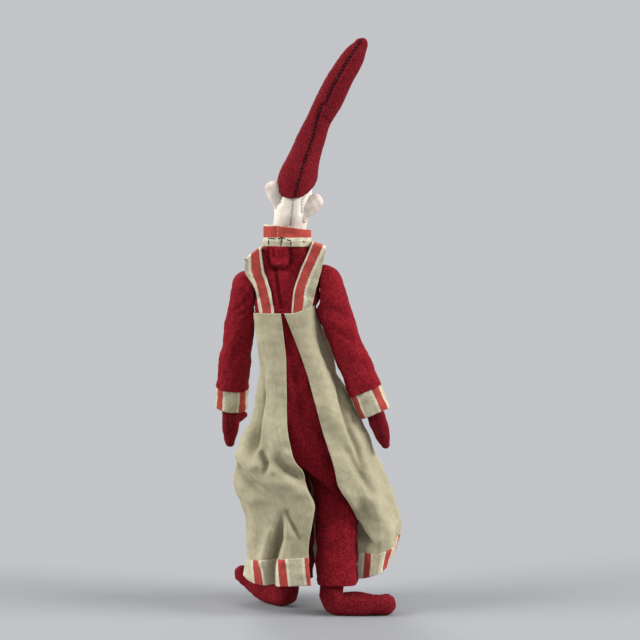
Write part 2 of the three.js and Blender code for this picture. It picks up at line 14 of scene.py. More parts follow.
import bpy
import numpy as np
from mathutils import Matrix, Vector


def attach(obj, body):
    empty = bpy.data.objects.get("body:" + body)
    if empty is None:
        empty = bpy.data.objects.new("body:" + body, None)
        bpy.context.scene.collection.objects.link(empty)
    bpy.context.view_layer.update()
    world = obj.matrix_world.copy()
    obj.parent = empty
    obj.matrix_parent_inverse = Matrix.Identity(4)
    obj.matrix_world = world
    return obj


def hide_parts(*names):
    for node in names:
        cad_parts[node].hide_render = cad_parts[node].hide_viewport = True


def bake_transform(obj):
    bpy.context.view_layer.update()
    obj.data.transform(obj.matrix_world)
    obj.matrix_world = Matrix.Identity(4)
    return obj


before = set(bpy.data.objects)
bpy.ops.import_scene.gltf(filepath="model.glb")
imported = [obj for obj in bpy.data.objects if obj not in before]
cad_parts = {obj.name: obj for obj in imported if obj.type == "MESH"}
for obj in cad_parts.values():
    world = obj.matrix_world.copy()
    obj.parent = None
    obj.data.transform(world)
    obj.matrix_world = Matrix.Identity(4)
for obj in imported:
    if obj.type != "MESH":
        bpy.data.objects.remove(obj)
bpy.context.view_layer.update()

LOG = logging.getLogger("pixie_doll")

# The frame: a millimetre in metres, Y of the doll's middle, X of its spine, the shoulders' X from it and Z.
MM = 0.001
BODY_Y = 6.0
SPINE_X = 13.0
SHOULDER = (23.5, 204.0)
UP = np.array([0.0, 0.0, 1.0])
AFT = np.array([0.0, 1.0, 0.0])
FULL_TURN = 2.0 * math.pi

# The UV map and the point attributes that the materials read.
WEAVE_UV = "weave"
# Fold heights: the materials paint shade into the valleys and a paler, worn colour onto the crests.
WEAR_AND_CREASE_SHADE = "wear_and_crease_shade"
# Share of a painted tint: rosy cheeks and nose, and painted shade at the ears' ends.
BLUSH_AND_SHADE = "blush_and_shade"

# Thickness of each cloth, how firmly pieces are stuffed, and where nearly all values of a noise lie.
WOOL_THICK = 1.0
TICKING_THICK = 1.2
CANVAS_THICK = 0.9
MOST_NOISE = (0.3, 0.7)

# Outward Y at which a surface starts to look a given way, and at which it fully does.
LOOKING = (-0.1, 0.4)

Array = np.ndarray
Curve = Callable[[Array], Array]
Pair = tuple[float, float]
Triple = tuple[float, float, float]
Line = tuple[Pair, ...]
Fold = tuple[Triple, ...]
Stops = tuple[tuple[float, str], ...]
Socket = bpy.types.NodeSocket


class Side(Enum):
    """The doll's own left or right, as the sign of X."""

    LEFT = 1
    RIGHT = -1

    @property
    def word(self) -> str:
        """The side's name as the nodes spell it."""
        return self.name.lower()


class Facing(Enum):
    """The way a fold looks, as the sign of Y."""

    BACK = 1
    FRONT = -1


def smooth(value: Array, low: float, high: float) -> Array:
    """A cubic step, 3s^2 - 2s^3, from 0 where the value is low to 1 where it is high."""
    share = np.clip((np.asarray(value, float) - low) / (high - low), 0.0, 1.0)
    return share * share * (3.0 - 2.0 * share)


def rounded(wave: Array, square: float) -> Array:
    """A sine or cosine drawn out towards a squarer outline, whose exponent is 2 for an ellipse."""
    return np.sign(wave) * np.abs(wave) ** (2.0 / square)


def unit(vectors: Array) -> Array:
    """Vectors of length 1, from an array whose last axis holds x, y and z."""
    return vectors / np.maximum(np.linalg.norm(vectors, axis=-1, keepdims=True), 1e-9)


@dataclass(frozen=True)
class Profile:
    """A smooth curve through (place, value) stations.

    Attributes:
        stations: the pairs, in the order of their places.
    """

    stations: Line

    def __call__(self, place: Array) -> Array:
        """The curve's value, by cubic pieces whose slopes come from the neighbouring stations.

        Args:
            place: where to read; beyond the ends the end values hold.

        Returns:
            An array of values in the shape of place.
        """
        at, value = np.array(self.stations, float).T
        slope = np.empty_like(value)
        slope[1:-1] = (value[2:] - value[:-2]) / (at[2:] - at[:-2])
        slope[0] = (value[1] - value[0]) / (at[1] - at[0])
        slope[-1] = (value[-1] - value[-2]) / (at[-1] - at[-2])
        place = np.clip(np.asarray(place, float), at[0], at[-1])
        i = np.clip(np.searchsorted(at, place, side="right") - 1, 0, len(at) - 2)
        span = at[i + 1] - at[i]
        s = (place - at[i]) / span
        start = (1.0 + 2.0 * s) * (1.0 - s) ** 2 * value[i] + s * (1.0 - s) ** 2 * span * slope[i]
        end = s * s * (3.0 - 2.0 * s) * value[i + 1] + s * s * (s - 1.0) * span * slope[i + 1]
        return start + end

    def times(self, factor: float) -> "Profile":
        """The curve with its values multiplied."""
        return Profile(tuple((place, factor * value) for place, value in self.stations))


@dataclass(frozen=True)
class Path:
    """A bent line that is read by the share of its length.

    Attributes:
        points: array (n, 3) of points along the line.
    """

    points: Array

    # Points of a curve, and the share to each side that a direction is read over.
    STEPS = 160
    CHORD = 0.01

    @classmethod
    def bezier(cls, *controls: Sequence[float]) -> "Path":
        """The Bernstein curve of some control points.

        Args:
            *controls: two points for a straight line, three or more for a bend.

        Returns:
            The path, as many short steps.
        """
        s = np.linspace(0.0, 1.0, cls.STEPS)[:, None]
        last = len(controls) - 1
        total = np.zeros((cls.STEPS, 3))
        for i, control in enumerate(controls):
            total += math.comb(last, i) * s**i * (1.0 - s) ** (last - i) * np.array(control, float)
        return cls(total)

    @property
    def shares(self) -> Array:
        """The share of the length at each point.

        Returns:
            Shares from 0 to 1.
        """
        steps = np.linalg.norm(np.diff(self.points, axis=0), axis=1)
        along = np.concatenate([[0.0], np.cumsum(steps)])
        return along / along[-1]

    @property
    def length(self) -> float:
        """The length of the line."""
        return float(np.linalg.norm(np.diff(self.points, axis=0), axis=1).sum())

    def at(self, share: Array) -> Array:
        """Points at shares of the length, in an array with one axis more than the shares."""
        known = self.shares
        return np.stack([np.interp(share, known, self.points[:, k]) for k in range(3)], axis=-1)

    def heading(self, share: Array) -> Array:
        """Unit directions at shares of the length, from the chord across each place."""
        ahead = self.at(np.clip(share + self.CHORD, 0.0, 1.0))
        return unit(ahead - self.at(np.clip(share - self.CHORD, 0.0, 1.0)))


@dataclass(frozen=True)
class Crease:
    """A fold pressed into or out of a cloth, with a rounded section.

    Attributes:
        line: (across, up, height) points of the fold; a negative height is a valley.
        width: half width of its bell-shaped section.
        facing: the side of the doll that it is on.
    """

    line: Fold
    width: float
    facing: Facing = Facing.BACK

    @classmethod
    def along(cls, line: Line, height: float, width: float, facing: Facing = Facing.BACK) -> "Crease":
        """A fold of one height along a line of (across, up) points."""
        return cls(tuple((x, z, height) for x, z in line), width, facing)

    def lift(self, points: Array, normals: Array) -> Array:
        """Heights of the fold over a surface: height times exp(-(distance / width)^2)."""
        away, height, _ = nearest_on_line(points, self.line)
        return faces(normals, self.facing) * height * np.exp(-((away / self.width) ** 2))


@dataclass(frozen=True)
class Overhang:
    """A fold that hangs over: the cloth on one side of a line drops back behind it.

    Attributes:
        line: (across, up, drop) points; the cloth drops on the line's right hand, seen from outside.
        width: how far the cloth takes to drop.
        reach: how far off the line the cloth has come back.
        fade: levels between which the fold grows.
        facing: the side of the doll that it is on.
    """

    line: Fold
    width: float
    reach: float
    fade: Pair
    facing: Facing = Facing.BACK

    def lift(self, points: Array, normals: Array) -> Array:
        """Depths behind the line: a smooth step down at it and a slow return beyond it.

        Args:
            points: the surface's points.
            normals: its outward directions.

        Returns:
            One negative height for each point.
        """
        away, drop, side = nearest_on_line(points, self.line)
        beyond = away * side
        step = smooth(beyond, 0.0, self.width) * (1.0 - smooth(beyond, self.width, self.reach))
        return -faces(normals, self.facing) * drop * step * smooth(points[..., 2], *self.fade)


@dataclass(frozen=True)
class Ripple:
    """Slight unevenness of cloth or stuffing.

    Attributes:
        size: distance between its hills.
        height: how high they are.
        seed: which of the many patterns it is.
    """

    size: float
    height: float
    seed: int

    # How many waves, and the range of their paces.
    WAVES = 12
    PACE = (0.6, 1.5)

    def lift(self, points: Array, normals: Array) -> Array:
        """Heights from a sum of twelve sine waves in directions drawn once from the seed.

        Args:
            points: the surface's points.
            normals: its outward directions, which don't matter here.

        Returns:
            One height for each point.
        """
        draw = np.random.default_rng(self.seed)
        headings = unit(draw.normal(size=(self.WAVES, 3)))
        waves = headings * draw.uniform(*self.PACE, (self.WAVES, 1)) * FULL_TURN / self.size
        phases = draw.uniform(0.0, FULL_TURN, self.WAVES)
        return self.height * np.sin(points @ waves.T + phases).sum(axis=-1) / math.sqrt(0.5 * self.WAVES)


Relief = Crease | Overhang | Ripple


def faces(normals: Array, facing: Facing) -> Array:
    """How far a surface looks a given way: 1 where it does, 0 where it looks off to the side."""
    return smooth(facing.value * normals[..., 1], *LOOKING)


def nearest_on_line(points: Array, line: Fold) -> tuple[Array, Array, Array]:
    """Distances, seen from behind, from a surface to a bent line.

    Args:
        points: the surface's points.
        line: (across, up, value) points of the line.

    Returns:
        The distance of each point, the line's value at its nearest place, and +1 or -1 for the side of
        the line, +1 on its right hand when up is up and X runs to the left.
    """
    place = points[..., [0, 2]]
    away = np.full(points.shape[:-1], np.inf)
    value = np.zeros(points.shape[:-1])
    side = np.ones(points.shape[:-1])
    for start, end in zip(line, line[1:]):
        a = np.array(start[:2])
        run = np.array(end[:2]) - a
        share = np.clip((place - a) @ run / max(float(run @ run), 1e-9), 0.0, 1.0)
        off = place - a - share[..., None] * run
        distance = np.linalg.norm(off, axis=-1)
        nearer = distance < away
        away = np.where(nearer, distance, away)
        value = np.where(nearer, start[2] + share * (end[2] - start[2]), value)
        cross = run[0] * off[..., 1] - run[1] * off[..., 0]
        side = np.where(nearer, np.where(cross >= 0.0, 1.0, -1.0), side)
    return away, value, side


@dataclass
class Grid:
    """A surface as rows of points.

    Attributes:
        points: array (rows, columns, 3).
        closed: whether each row runs round to its own start.
        poles: whether the first and the last row close on a point.
        wear_and_crease_shade: height of the relief at each point, by which the finish is painted darker in
            valleys as shade and paler on crests as wear.
        blush_and_shade: share of a painted tint at each point: rosy cheeks and nose, and painted shade at the
            ears' ends.
        anchor: the column where the weave's count across starts.
        laid: the points before the cloth was folded, by which its lengths are counted.
    """

    points: Array
    closed: bool = False
    poles: tuple[bool, bool] = (False, False)
    wear_and_crease_shade: Array | None = None
    blush_and_shade: Array | None = None
    anchor: int = 0
    laid: Array | None = None

    # Lines drawn on the surface: spacing, fewest points, neighbours that count, least distance, least look.
    DRAWN = 0.4
    FEWEST = 8
    NEAREST = 4
    CLOSEST = 0.05
    TOWARDS = 0.05

    def _steps(self) -> tuple[Array, Array]:
        """The steps from neighbour to neighbour at each point.

        Returns:
            The steps across the columns and along the rows.
        """
        p = self.points
        across = np.roll(p, -1, 1) - np.roll(p, 1, 1) if self.closed else np.gradient(p, axis=1)
        return across, np.gradient(p, axis=0)

    def _sense(self) -> float:
        """Which way the cross product of the steps points.

        Returns:
            +1 where it points away from the middle, else -1.
        """
        across, along = self._steps()
        axes = 1 if self.closed else (0, 1)
        from_middle = self.points - self.points.mean(axis=axes, keepdims=True)
        return 1.0 if float((np.cross(across, along) * from_middle).sum()) > 0.0 else -1.0

    def normals(self) -> Array:
        """Outward unit directions, from the cross product of the steps."""
        across, along = self._steps()
        return unit(np.cross(across, along)) * self._sense()

    def shaped(self, reliefs: Sequence[Relief]) -> "Grid":
        """The surface with folds pressed in along its outward directions.

        Args:
            reliefs: folds and unevenness to add up.

        Returns:
            A new grid that holds the folds' heights, by which its colour gets painted shade in the valleys
            and paler, worn crests.
        """
        normals = self.normals()
        height = np.zeros(self.points.shape[:2])
        for relief in reliefs:
            height = height + relief.lift(self.points, normals)
        return replace(self, points=self.points + normals * height[..., None], wear_and_crease_shade=height)

    def relaxed(self, rounds: int) -> "Grid":
        """The surface smoothed along its rows and columns, with its rim kept.

        Args:
            rounds: how often each point moves halfway to its neighbours' mean.

        Returns:
            A new grid.
        """
        p = self.points.copy()
        for _ in range(rounds):
            p[1:-1] = 0.5 * p[1:-1] + 0.25 * (p[:-2] + p[2:])
            p[:, 1:-1] = 0.5 * p[:, 1:-1] + 0.25 * (p[:, :-2] + p[:, 2:])
        return replace(self, points=p)

    def lengths(self) -> tuple[Array, Array]:
        """Lengths over the surface, across from the anchor column and along from the first row.

        Returns:
            Two arrays (rows, columns), with one column more where the rows are closed.
        """
        p = self.points if self.laid is None else self.laid
        p = np.concatenate([p, p[:, :1]], axis=1) if self.closed else p
        across = np.zeros(p.shape[:2])
        across[:, 1:] = np.cumsum(np.linalg.norm(np.diff(p, axis=1), axis=-1), axis=1)
        along = np.zeros(p.shape[:2])
        along[1:] = np.cumsum(np.linalg.norm(np.diff(p, axis=0), axis=-1), axis=0)
        return across - across[:, self.anchor : self.anchor + 1], along

    def sample(self, row: Array, column: Array) -> tuple[Array, Array]:
        """Points and outward directions at fractional places of the grid, by bilinear shares.

        Args:
            row: places along the rows.
            column: places across the columns.

        Returns:
            Two arrays (n, 3).
        """
        rows, columns = self.points.shape[:2]
        i = np.clip(np.floor(row).astype(int), 0, rows - 2)
        j = np.floor(column).astype(int)
        s, t = (row - i)[:, None], (column - j)[:, None]
        j, k = j % columns, (j + 1) % columns

        def mixed(a: Array) -> Array:
            """The bilinear mix of an array at the places."""
            low = a[i, j] * (1.0 - t) + a[i, k] * t
            return low * (1.0 - s) + (a[i + 1, j] * (1.0 - t) + a[i + 1, k] * t) * s

        return mixed(self.points), unit(mixed(self.normals()))

    def under(self, line: Line, facing: Facing = Facing.BACK) -> tuple[Array, Array]:
        """Points and outward directions where a line drawn on one side of the doll meets the surface.

        Args:
            line: (across, up) points, drawn on closely before they are projected.
            facing: the side of the doll.

        Returns:
            Two arrays (n, 3), from the four nearest points of the surface that look that way.
        """
        corners = np.array(line, float)
        path = Path(np.column_stack([corners, np.zeros(len(corners))]))
        steps = max(self.FEWEST, int(path.length / self.DRAWN))
        drawn = path.at(np.linspace(0.0, 1.0, steps))[:, :2]
        normals = self.normals().reshape(-1, 3)
        points = self.points.reshape(-1, 3)
        towards = facing.value * normals[:, 1] > self.TOWARDS
        points, normals = points[towards], normals[towards]
        off = drawn[:, None, :] - points[None, :, [0, 2]]
        distance = np.linalg.norm(off, axis=-1)
        near = np.argsort(distance, axis=1)[:, : self.NEAREST]
        weight = 1.0 / (np.take_along_axis(distance, near, 1) + self.CLOSEST) ** 2
        weight = (weight / weight.sum(axis=1, keepdims=True))[..., None]
        place = (points[near] * weight).sum(axis=1)
        place[:, [0, 2]] = drawn
        return place, unit((normals[near] * weight).sum(axis=1))

    def mesh(
        self, name: str, turned: bool = False, start: Pair = (0.0, 0.0), stretch: float = 1.0
    ) -> bpy.types.Object:
        """The surface as a smooth mesh object with its weave lengths as a UV map.

        Args:
            name: the object's name.
            turned: whether the cloth's threads run across instead of along.
            start: lengths that the UV map starts from, in millimetres.
            stretch: factor on the lengths that stripes are counted by.

        Returns:
            The object, linked to the scene.
        """
        rows, columns = self.points.shape[:2]
        cells = columns if self.closed else columns - 1
        i, j = np.meshgrid(np.arange(rows - 1), np.arange(cells), indexing="ij")
        i, j = i.ravel(), j.ravel()
        corner_rows = np.stack([i, i, i + 1, i + 1], axis=1)
        corner_columns = np.stack([j, j + 1, j + 1, j], axis=1)
        if self._sense() < 0.0:
            corner_rows, corner_columns = corner_rows[:, ::-1], corner_columns[:, ::-1]
        across, along = self.lengths()
        lengths = np.stack([along, across] if turned else [across, along], axis=-1)
        lengths = lengths * np.array([stretch, 1.0]) + np.array(start)
        quads = corner_rows * columns + corner_columns % columns
        quad_uvs = lengths[corner_rows, corner_columns]
        vertices = [self.points.reshape(-1, 3)]
        fans, fan_uvs = [], []
        for pole, row in zip(self.poles, (0, rows - 1)):
            if not pole:
                continue
            tip = rows * columns + len(vertices) - 1
            vertices.append(self.points[row].mean(axis=0, keepdims=True))
            a, b = np.arange(columns), (np.arange(columns) + 1) % columns
            fan = np.stack([np.full(columns, tip), row * columns + a, row * columns + b], axis=1)
            uv = np.stack([lengths[row, a], lengths[row, a], lengths[row, a + 1]], axis=1)
            forward = (row == 0) == (self._sense() > 0.0)
            fans.append(fan[:, ::-1] if forward else fan)
            fan_uvs.append(uv[:, ::-1] if forward else uv)
        corners = np.concatenate([quads.ravel()] + [fan.ravel() for fan in fans])
        uvs = np.concatenate([quad_uvs.reshape(-1, 2)] + [uv.reshape(-1, 2) for uv in fan_uvs])
        totals = np.concatenate([np.full(len(quads), 4)] + [np.full(len(fan), 3) for fan in fans])
        places = (np.concatenate(vertices) + BODY_Y * AFT) * MM
        made = filled_mesh(name, places, corners, totals, uvs * MM)
        for label, values in ((WEAR_AND_CREASE_SHADE, self.wear_and_crease_shade), (BLUSH_AND_SHADE, self.blush_and_shade)):
            if values is not None:
                spread = np.concatenate([values.ravel(), np.zeros(len(vertices) - 1)])
                layer = made.data.attributes.new(label, "FLOAT", "POINT")
                layer.data.foreach_set("value", spread.astype(np.float32))
        return made


def filled_mesh(name: str, places: Array, corners: Array, totals: Array, uvs: Array) -> bpy.types.Object:
    """A mesh object from flat arrays.

    Args:
        name: the object's name.
        places: vertex coordinates in metres, (n, 3).
        corners: the vertex of each face corner, face by face.
        totals: how many corners each face has.
        uvs: the weave coordinates of each corner, in metres.

    Returns:
        The object, smooth shaded and linked to the scene.
    """
    mesh = bpy.data.meshes.new(name)
    mesh.vertices.add(len(places))
    mesh.vertices.foreach_set("co", places.astype(np.float32).ravel())
    mesh.loops.add(len(corners))
    mesh.loops.foreach_set("vertex_index", corners.astype(np.int32))
    mesh.polygons.add(len(totals))
    starts = np.concatenate([[0], np.cumsum(totals)[:-1]])
    mesh.polygons.foreach_set("loop_start", starts.astype(np.int32))
    mesh.polygons.foreach_set("loop_total", totals.astype(np.int32))
    mesh.polygons.foreach_set("use_smooth", np.ones(len(totals), bool))
    layer = mesh.uv_layers.new(name=WEAVE_UV)
    layer.data.foreach_set("uv", uvs.astype(np.float32).ravel())
    mesh.validate()
    mesh.update()
    made = bpy.data.objects.new(name, mesh)
    bpy.context.scene.collection.objects.link(made)
    return made


def ring_angles(sides: int) -> Array:
    """Angles round a section from the front on; 0 is the back, and +X follows where the path runs up."""
    return np.linspace(-math.pi, math.pi, sides, endpoint=False)


@dataclass(frozen=True)
class Section:
    """The outline of a stuffed piece or a tube of cloth, which is carried along a path.

    Attributes:
        half_width: half its size across, by share of the path.
        half_depth: half its size fore and aft, by share of the path.
        square: exponent of the outline, 2 for an ellipse.
        upright: whether it stays level instead of square to the path.
    """

    half_width: Curve
    half_depth: Curve
    square: float = 2.0
    upright: bool = False

    # Angles of a dome's outlines, from its foot on.
    DOME_TURNS = np.linspace(0.0, 0.48 * math.pi, 10)[1:]

    def carried(
        self, path: Path, share: Array, angle: Array, scale: Array | float = 1.0, shift: Array | float = 0.0
    ) -> Array:
        """The outline along a path: centre + across * width * sin + aft * depth * cos.

        Args:
            path: the centre line.
            share: places along the path, on the grid.
            angle: places round the outline, on the grid.
            scale: factor on the outline's size, on the grid.
            shift: length to move along the path's heading, on the grid.

        Returns:
            Points (rows, columns, 3).
        """
        share, angle, scale, shift = np.broadcast_arrays(share, angle, scale, shift)
        along = np.broadcast_to(UP, share.shape + (3,)) if self.upright else path.heading(share)
        across = unit(np.cross(np.broadcast_to(AFT, along.shape), along))
        aft = np.cross(along, across)
        wide = (self.half_width(share) * scale * rounded(np.sin(angle), self.square))[..., None]
        deep = (self.half_depth(share) * scale * rounded(np.cos(angle), self.square))[..., None]
        return path.at(share) + shift[..., None] * along + wide * across + deep * aft

    def limb(self, path: Path, rows: int, sides: int, domes: Pair = (0.0, 0.0)) -> Grid:
        """A tube along a path whose ends are open or close in a dome.

        Args:
            path: the centre line.
            rows: outlines along the path.
            sides: points round each of them.
            domes: height of the dome at each end, 0 for an open end.

        Returns:
            A closed grid; a dome's outlines shrink by the cosine while they move by the sine.
        """
        turn = self.DOME_TURNS
        shares, scales, shifts = [np.linspace(0.0, 1.0, rows + 1)], [np.ones(rows + 1)], [np.zeros(rows + 1)]
        if domes[0]:
            shares.insert(0, np.zeros_like(turn))
            scales.insert(0, np.cos(turn)[::-1])
            shifts.insert(0, -domes[0] * np.sin(turn)[::-1])
        if domes[1]:
            shares.append(np.ones_like(turn))
            scales.append(np.cos(turn))
            shifts.append(domes[1] * np.sin(turn))
        share, scale, shift = (np.concatenate(part)[:, None] for part in (shares, scales, shifts))
        points = self.carried(path, share, ring_angles(sides)[None, :], scale, shift)
        return Grid(points, True, (domes[0] > 0.0, domes[1] > 0.0), anchor=sides // 2)


def linear(hex_colour: str) -> tuple[float, float, float, float]:
    """A colour for a shader.

    Args:
        hex_colour: six hex digits of an sRGB colour.

    Returns:
        Its linear red, green and blue, and an alpha of 1.
    """
    parts = [int(hex_colour[i : i + 2], 16) / 255.0 for i in (0, 2, 4)]
    bent = [p / 12.92 if p <= 0.04045 else ((p + 0.055) / 1.055) ** 2.4 for p in parts]
    return (*bent, 1.0)


@dataclass(frozen=True)
class Shading:
    """A tree that shader nodes are added to.

    Attributes:
        tree: Blender's own tree, empty at first.
    """

    tree: bpy.types.NodeTree

    @classmethod
    def material(cls, name: str) -> tuple[bpy.types.Material, "Shading"]:
        """A new material.

        Args:
            name: what the real material is.

        Returns:
            The material and its empty tree.
        """
        made = bpy.data.materials.new(name)
        made.use_nodes = True
        made.node_tree.nodes.clear()
        return made, cls(made.node_tree)

    def add(
        self, kind: str, inputs: dict | None = None, stops: Stops = (), **settings: object
    ) -> bpy.types.Node:
        """Adds a node with its settings and links.

        Args:
            kind: Blender's name of the node.
            inputs: input socket, by name or number, to a value or to an output socket that feeds it.
            stops: (place, hex colour) pairs of a colour ramp.
            **settings: properties of the node.

        Returns:
            The new node.
        """
        made = self.tree.nodes.new(kind)
        for name, value in settings.items():
            setattr(made, name, value)
        for socket, value in (inputs or {}).items():
            if isinstance(value, Socket):
                self.tree.links.new(value, made.inputs[socket])
            else:
                made.inputs[socket].default_value = value
        if stops:
            elements = made.color_ramp.elements
            elements.remove(elements[1])
            elements[0].position, elements[0].color = stops[0][0], linear(stops[0][1])
            for place, colour in stops[1:]:
                elements.new(place).color = linear(colour)
        return made

    def scaled(self, colour: Socket, value: Socket, span: Pair, factors: Pair) -> Socket:
        """A colour times a factor that follows a value.

        Args:
            colour: the colour to scale.
            value: the number that the factor follows.
            span: where the number starts and ends.
            factors: the factors there.

        Returns:
            The new colour's socket.
        """
        ends = dict(zip(("From Min", "From Max", "To Min", "To Max"), span + factors))
        factor = self.add("ShaderNodeMapRange", {"Value": value, **ends}).outputs["Result"]
        return self.add("ShaderNodeVectorMath", {0: colour, "Scale": factor}, operation="SCALE").outputs[0]

    def finish(self, inputs: dict) -> None:
        """Ends a material's tree with a principled shader that has these inputs."""
        shader = self.add("ShaderNodeBsdfPrincipled", inputs)
        self.add("ShaderNodeOutputMaterial", {"Surface": shader.outputs[0]})


@dataclass(frozen=True)
class Cloth:
    """A woven or felted cloth, as its threads and fibres show to the eye.

    Attributes:
        name: the real material and how it was made.
        dark: colour of its shaded and unworn fibres.
        base: its main colour.
        pale: colour of its worn and lit fibres.
        fleck: colour of stray fibres and soil.
        mottle: size of the blotches of colour.
        thread: spacing of its threads, or 0 for felt.
        relief: depth of threads and fibres.
        flecked: how much of the surface the flecks take, from 0 to 1.
        sheen: strength of the soft light on its fibre ends.
        uneven: how much its single threads differ in tone.
        tint: colour painted on where that share is 1, rosy on the cheeks and nose and as shade at the ears'
            ends.
    """

    name: str
    dark: str
    base: str
    pale: str
    fleck: str
    mottle: float
    thread: float
    relief: float
    flecked: float
    sheen: float
    uneven: float
    tint: str = "b98c84"

    # Noises as size, detail and roughness, of which the blotches' size is the cloth's own.
    MOTTLE = (4.0, 0.65)
    SOIL = (26.0, 3.0, 0.5)
    FLECK = (0.9, 2.0, 0.7)
    FIBRE = (0.55, 3.0, 0.75)
    # Values at which the blotches are dark, plain and pale; where flecks start and fill, how much lower they
    # start on a fully flecked cloth, and their strongest share.
    BLOTCHES = (0.36, 0.5, 0.64)
    FLECK_EDGE = (0.7, 0.76)
    FLECK_LOWER = 0.2
    FLECK_MOST = 0.7
    # How soil, the folds and threads darken and lighten the colour (valleys darker as painted shade, crests
    # paler as wear), and the fold height where that is fullest.
    SOIL_TONES = (0.96, 1.04)
    WEAR_AND_CREASE_SHADE_TONES = (0.86, 1.12)
    THREAD_TONES = (0.95, 1.04)
    DEEPEST = 3.0
    # Rates of the slubs over the lengths, and the threads' height among the fibres.
    SLUB = (1.0 / (0.9 * MM), 1.0 / (14.0 * MM), 0.0)
    THREADS = 0.3

    def colour(self, tree: Shading, mottle: Socket, uv: Socket) -> Socket:
        """The cloth's blotches before soil and the folds' painted shade and wear, by noise; striped cloths
        also use its lengths, uv.
        """
        stops = tuple(zip(self.BLOTCHES, (self.dark, self.base, self.pale)))
        return tree.add("ShaderNodeValToRGB", {"Fac": mottle}, stops).outputs["Color"]

    def weave(self, tree: Shading, uv: Socket) -> Socket:
        """The height of the threads of a plain weave: sin u * sin v.

        Args:
            tree: the material's nodes.
            uv: lengths over the cloth, in metres.

        Returns:
            A socket from -1 to 1.
        """
        rate = math.pi / (self.thread * MM)
        split = tree.add("ShaderNodeSeparateXYZ", {0: uv})
        waves = {}
        for i in (0, 1):
            turn = tree.add("ShaderNodeMath", {0: split.outputs[i], 1: rate}, operation="MULTIPLY")
            waves[i] = tree.add("ShaderNodeMath", {0: turn.outputs[0]}, operation="SINE").outputs[0]
        return tree.add("ShaderNodeMath", waves, operation="MULTIPLY").outputs[0]

    def make(self) -> bpy.types.Material:
        """The material.

        Returns:
            Blotches, flecks, thread relief, crests paler as worn and valleys darkened with painted shade, on
            a matt fibre shader.
        """
        made, tree = Shading.material(self.name)
        place = tree.add("ShaderNodeTexCoord").outputs["Object"]
        uv = tree.add("ShaderNodeUVMap", uv_map=WEAVE_UV).outputs["UV"]
        noises = []
        for size, detail, rough in ((self.mottle, *self.MOTTLE), self.SOIL, self.FLECK, self.FIBRE):
            inputs = {"Vector": place, "Scale": 1.0 / (size * MM), "Detail": detail, "Roughness": rough}
            noises.append(tree.add("ShaderNodeTexNoise", inputs).outputs["Fac"])
        mottle, soil, specks, height = noises
        colour = tree.scaled(self.colour(tree, mottle, uv), soil, MOST_NOISE, self.SOIL_TONES)
        # The painted tint: rosy cheeks and nose, and shade at the ears' ends.
        blush_and_shade = tree.add("ShaderNodeAttribute", attribute_name=BLUSH_AND_SHADE).outputs["Fac"]
        tinted = tree.add("ShaderNodeMix", {0: blush_and_shade, 6: colour, 7: linear(self.tint)}, data_type="RGBA")
        low, high = self.FLECK_EDGE
        low = low - self.FLECK_LOWER * self.flecked
        fleck = {"Value": specks, "From Min": low, "From Max": high, "To Max": self.FLECK_MOST}
        share = tree.add("ShaderNodeMapRange", fleck).outputs["Result"]
        spotted = {0: share, 6: tinted.outputs[2], 7: linear(self.fleck)}
        colour = tree.add("ShaderNodeMix", spotted, data_type="RGBA").outputs[2]
        # Valleys of the folds get painted shade, crests a paler, worn colour.
        wear_and_crease_shade = tree.add("ShaderNodeAttribute", attribute_name=WEAR_AND_CREASE_SHADE).outputs["Fac"]
        colour = tree.scaled(colour, wear_and_crease_shade, (-self.DEEPEST, self.DEEPEST), self.WEAR_AND_CREASE_SHADE_TONES)
        if self.thread:
            threads = self.weave(tree, uv)
            colour = tree.scaled(colour, threads, (-1.0, 1.0), self.THREAD_TONES)
            fine = tree.add("ShaderNodeVectorMath", {0: uv, 1: self.SLUB}, operation="MULTIPLY").outputs[0]
            slub = tree.add("ShaderNodeTexNoise", {"Vector": fine, "Scale": 1.0, "Detail": 2.0})
            tones = (1.0 - self.uneven, 1.0 + self.uneven)
            colour = tree.scaled(colour, slub.outputs["Fac"], MOST_NOISE, tones)
            raised = {0: threads, 1: self.THREADS, 2: height}
            height = tree.add("ShaderNodeMath", raised, operation="MULTIPLY_ADD").outputs[0]
        bump = tree.add("ShaderNodeBump", {"Height": height, "Strength": 1.0, "Distance": self.relief * MM})
        fibre = {
            "Base Color": colour,
            "Roughness": 0.92,
            "IOR": 1.5,
            "Specular IOR Level": 0.12,
            "Sheen Weight": self.sheen,
            "Sheen Roughness": 0.55,
            "Sheen Tint": linear(self.pale),
            "Normal": bump.outputs["Normal"],
        }
        tree.finish(fibre)
        return made


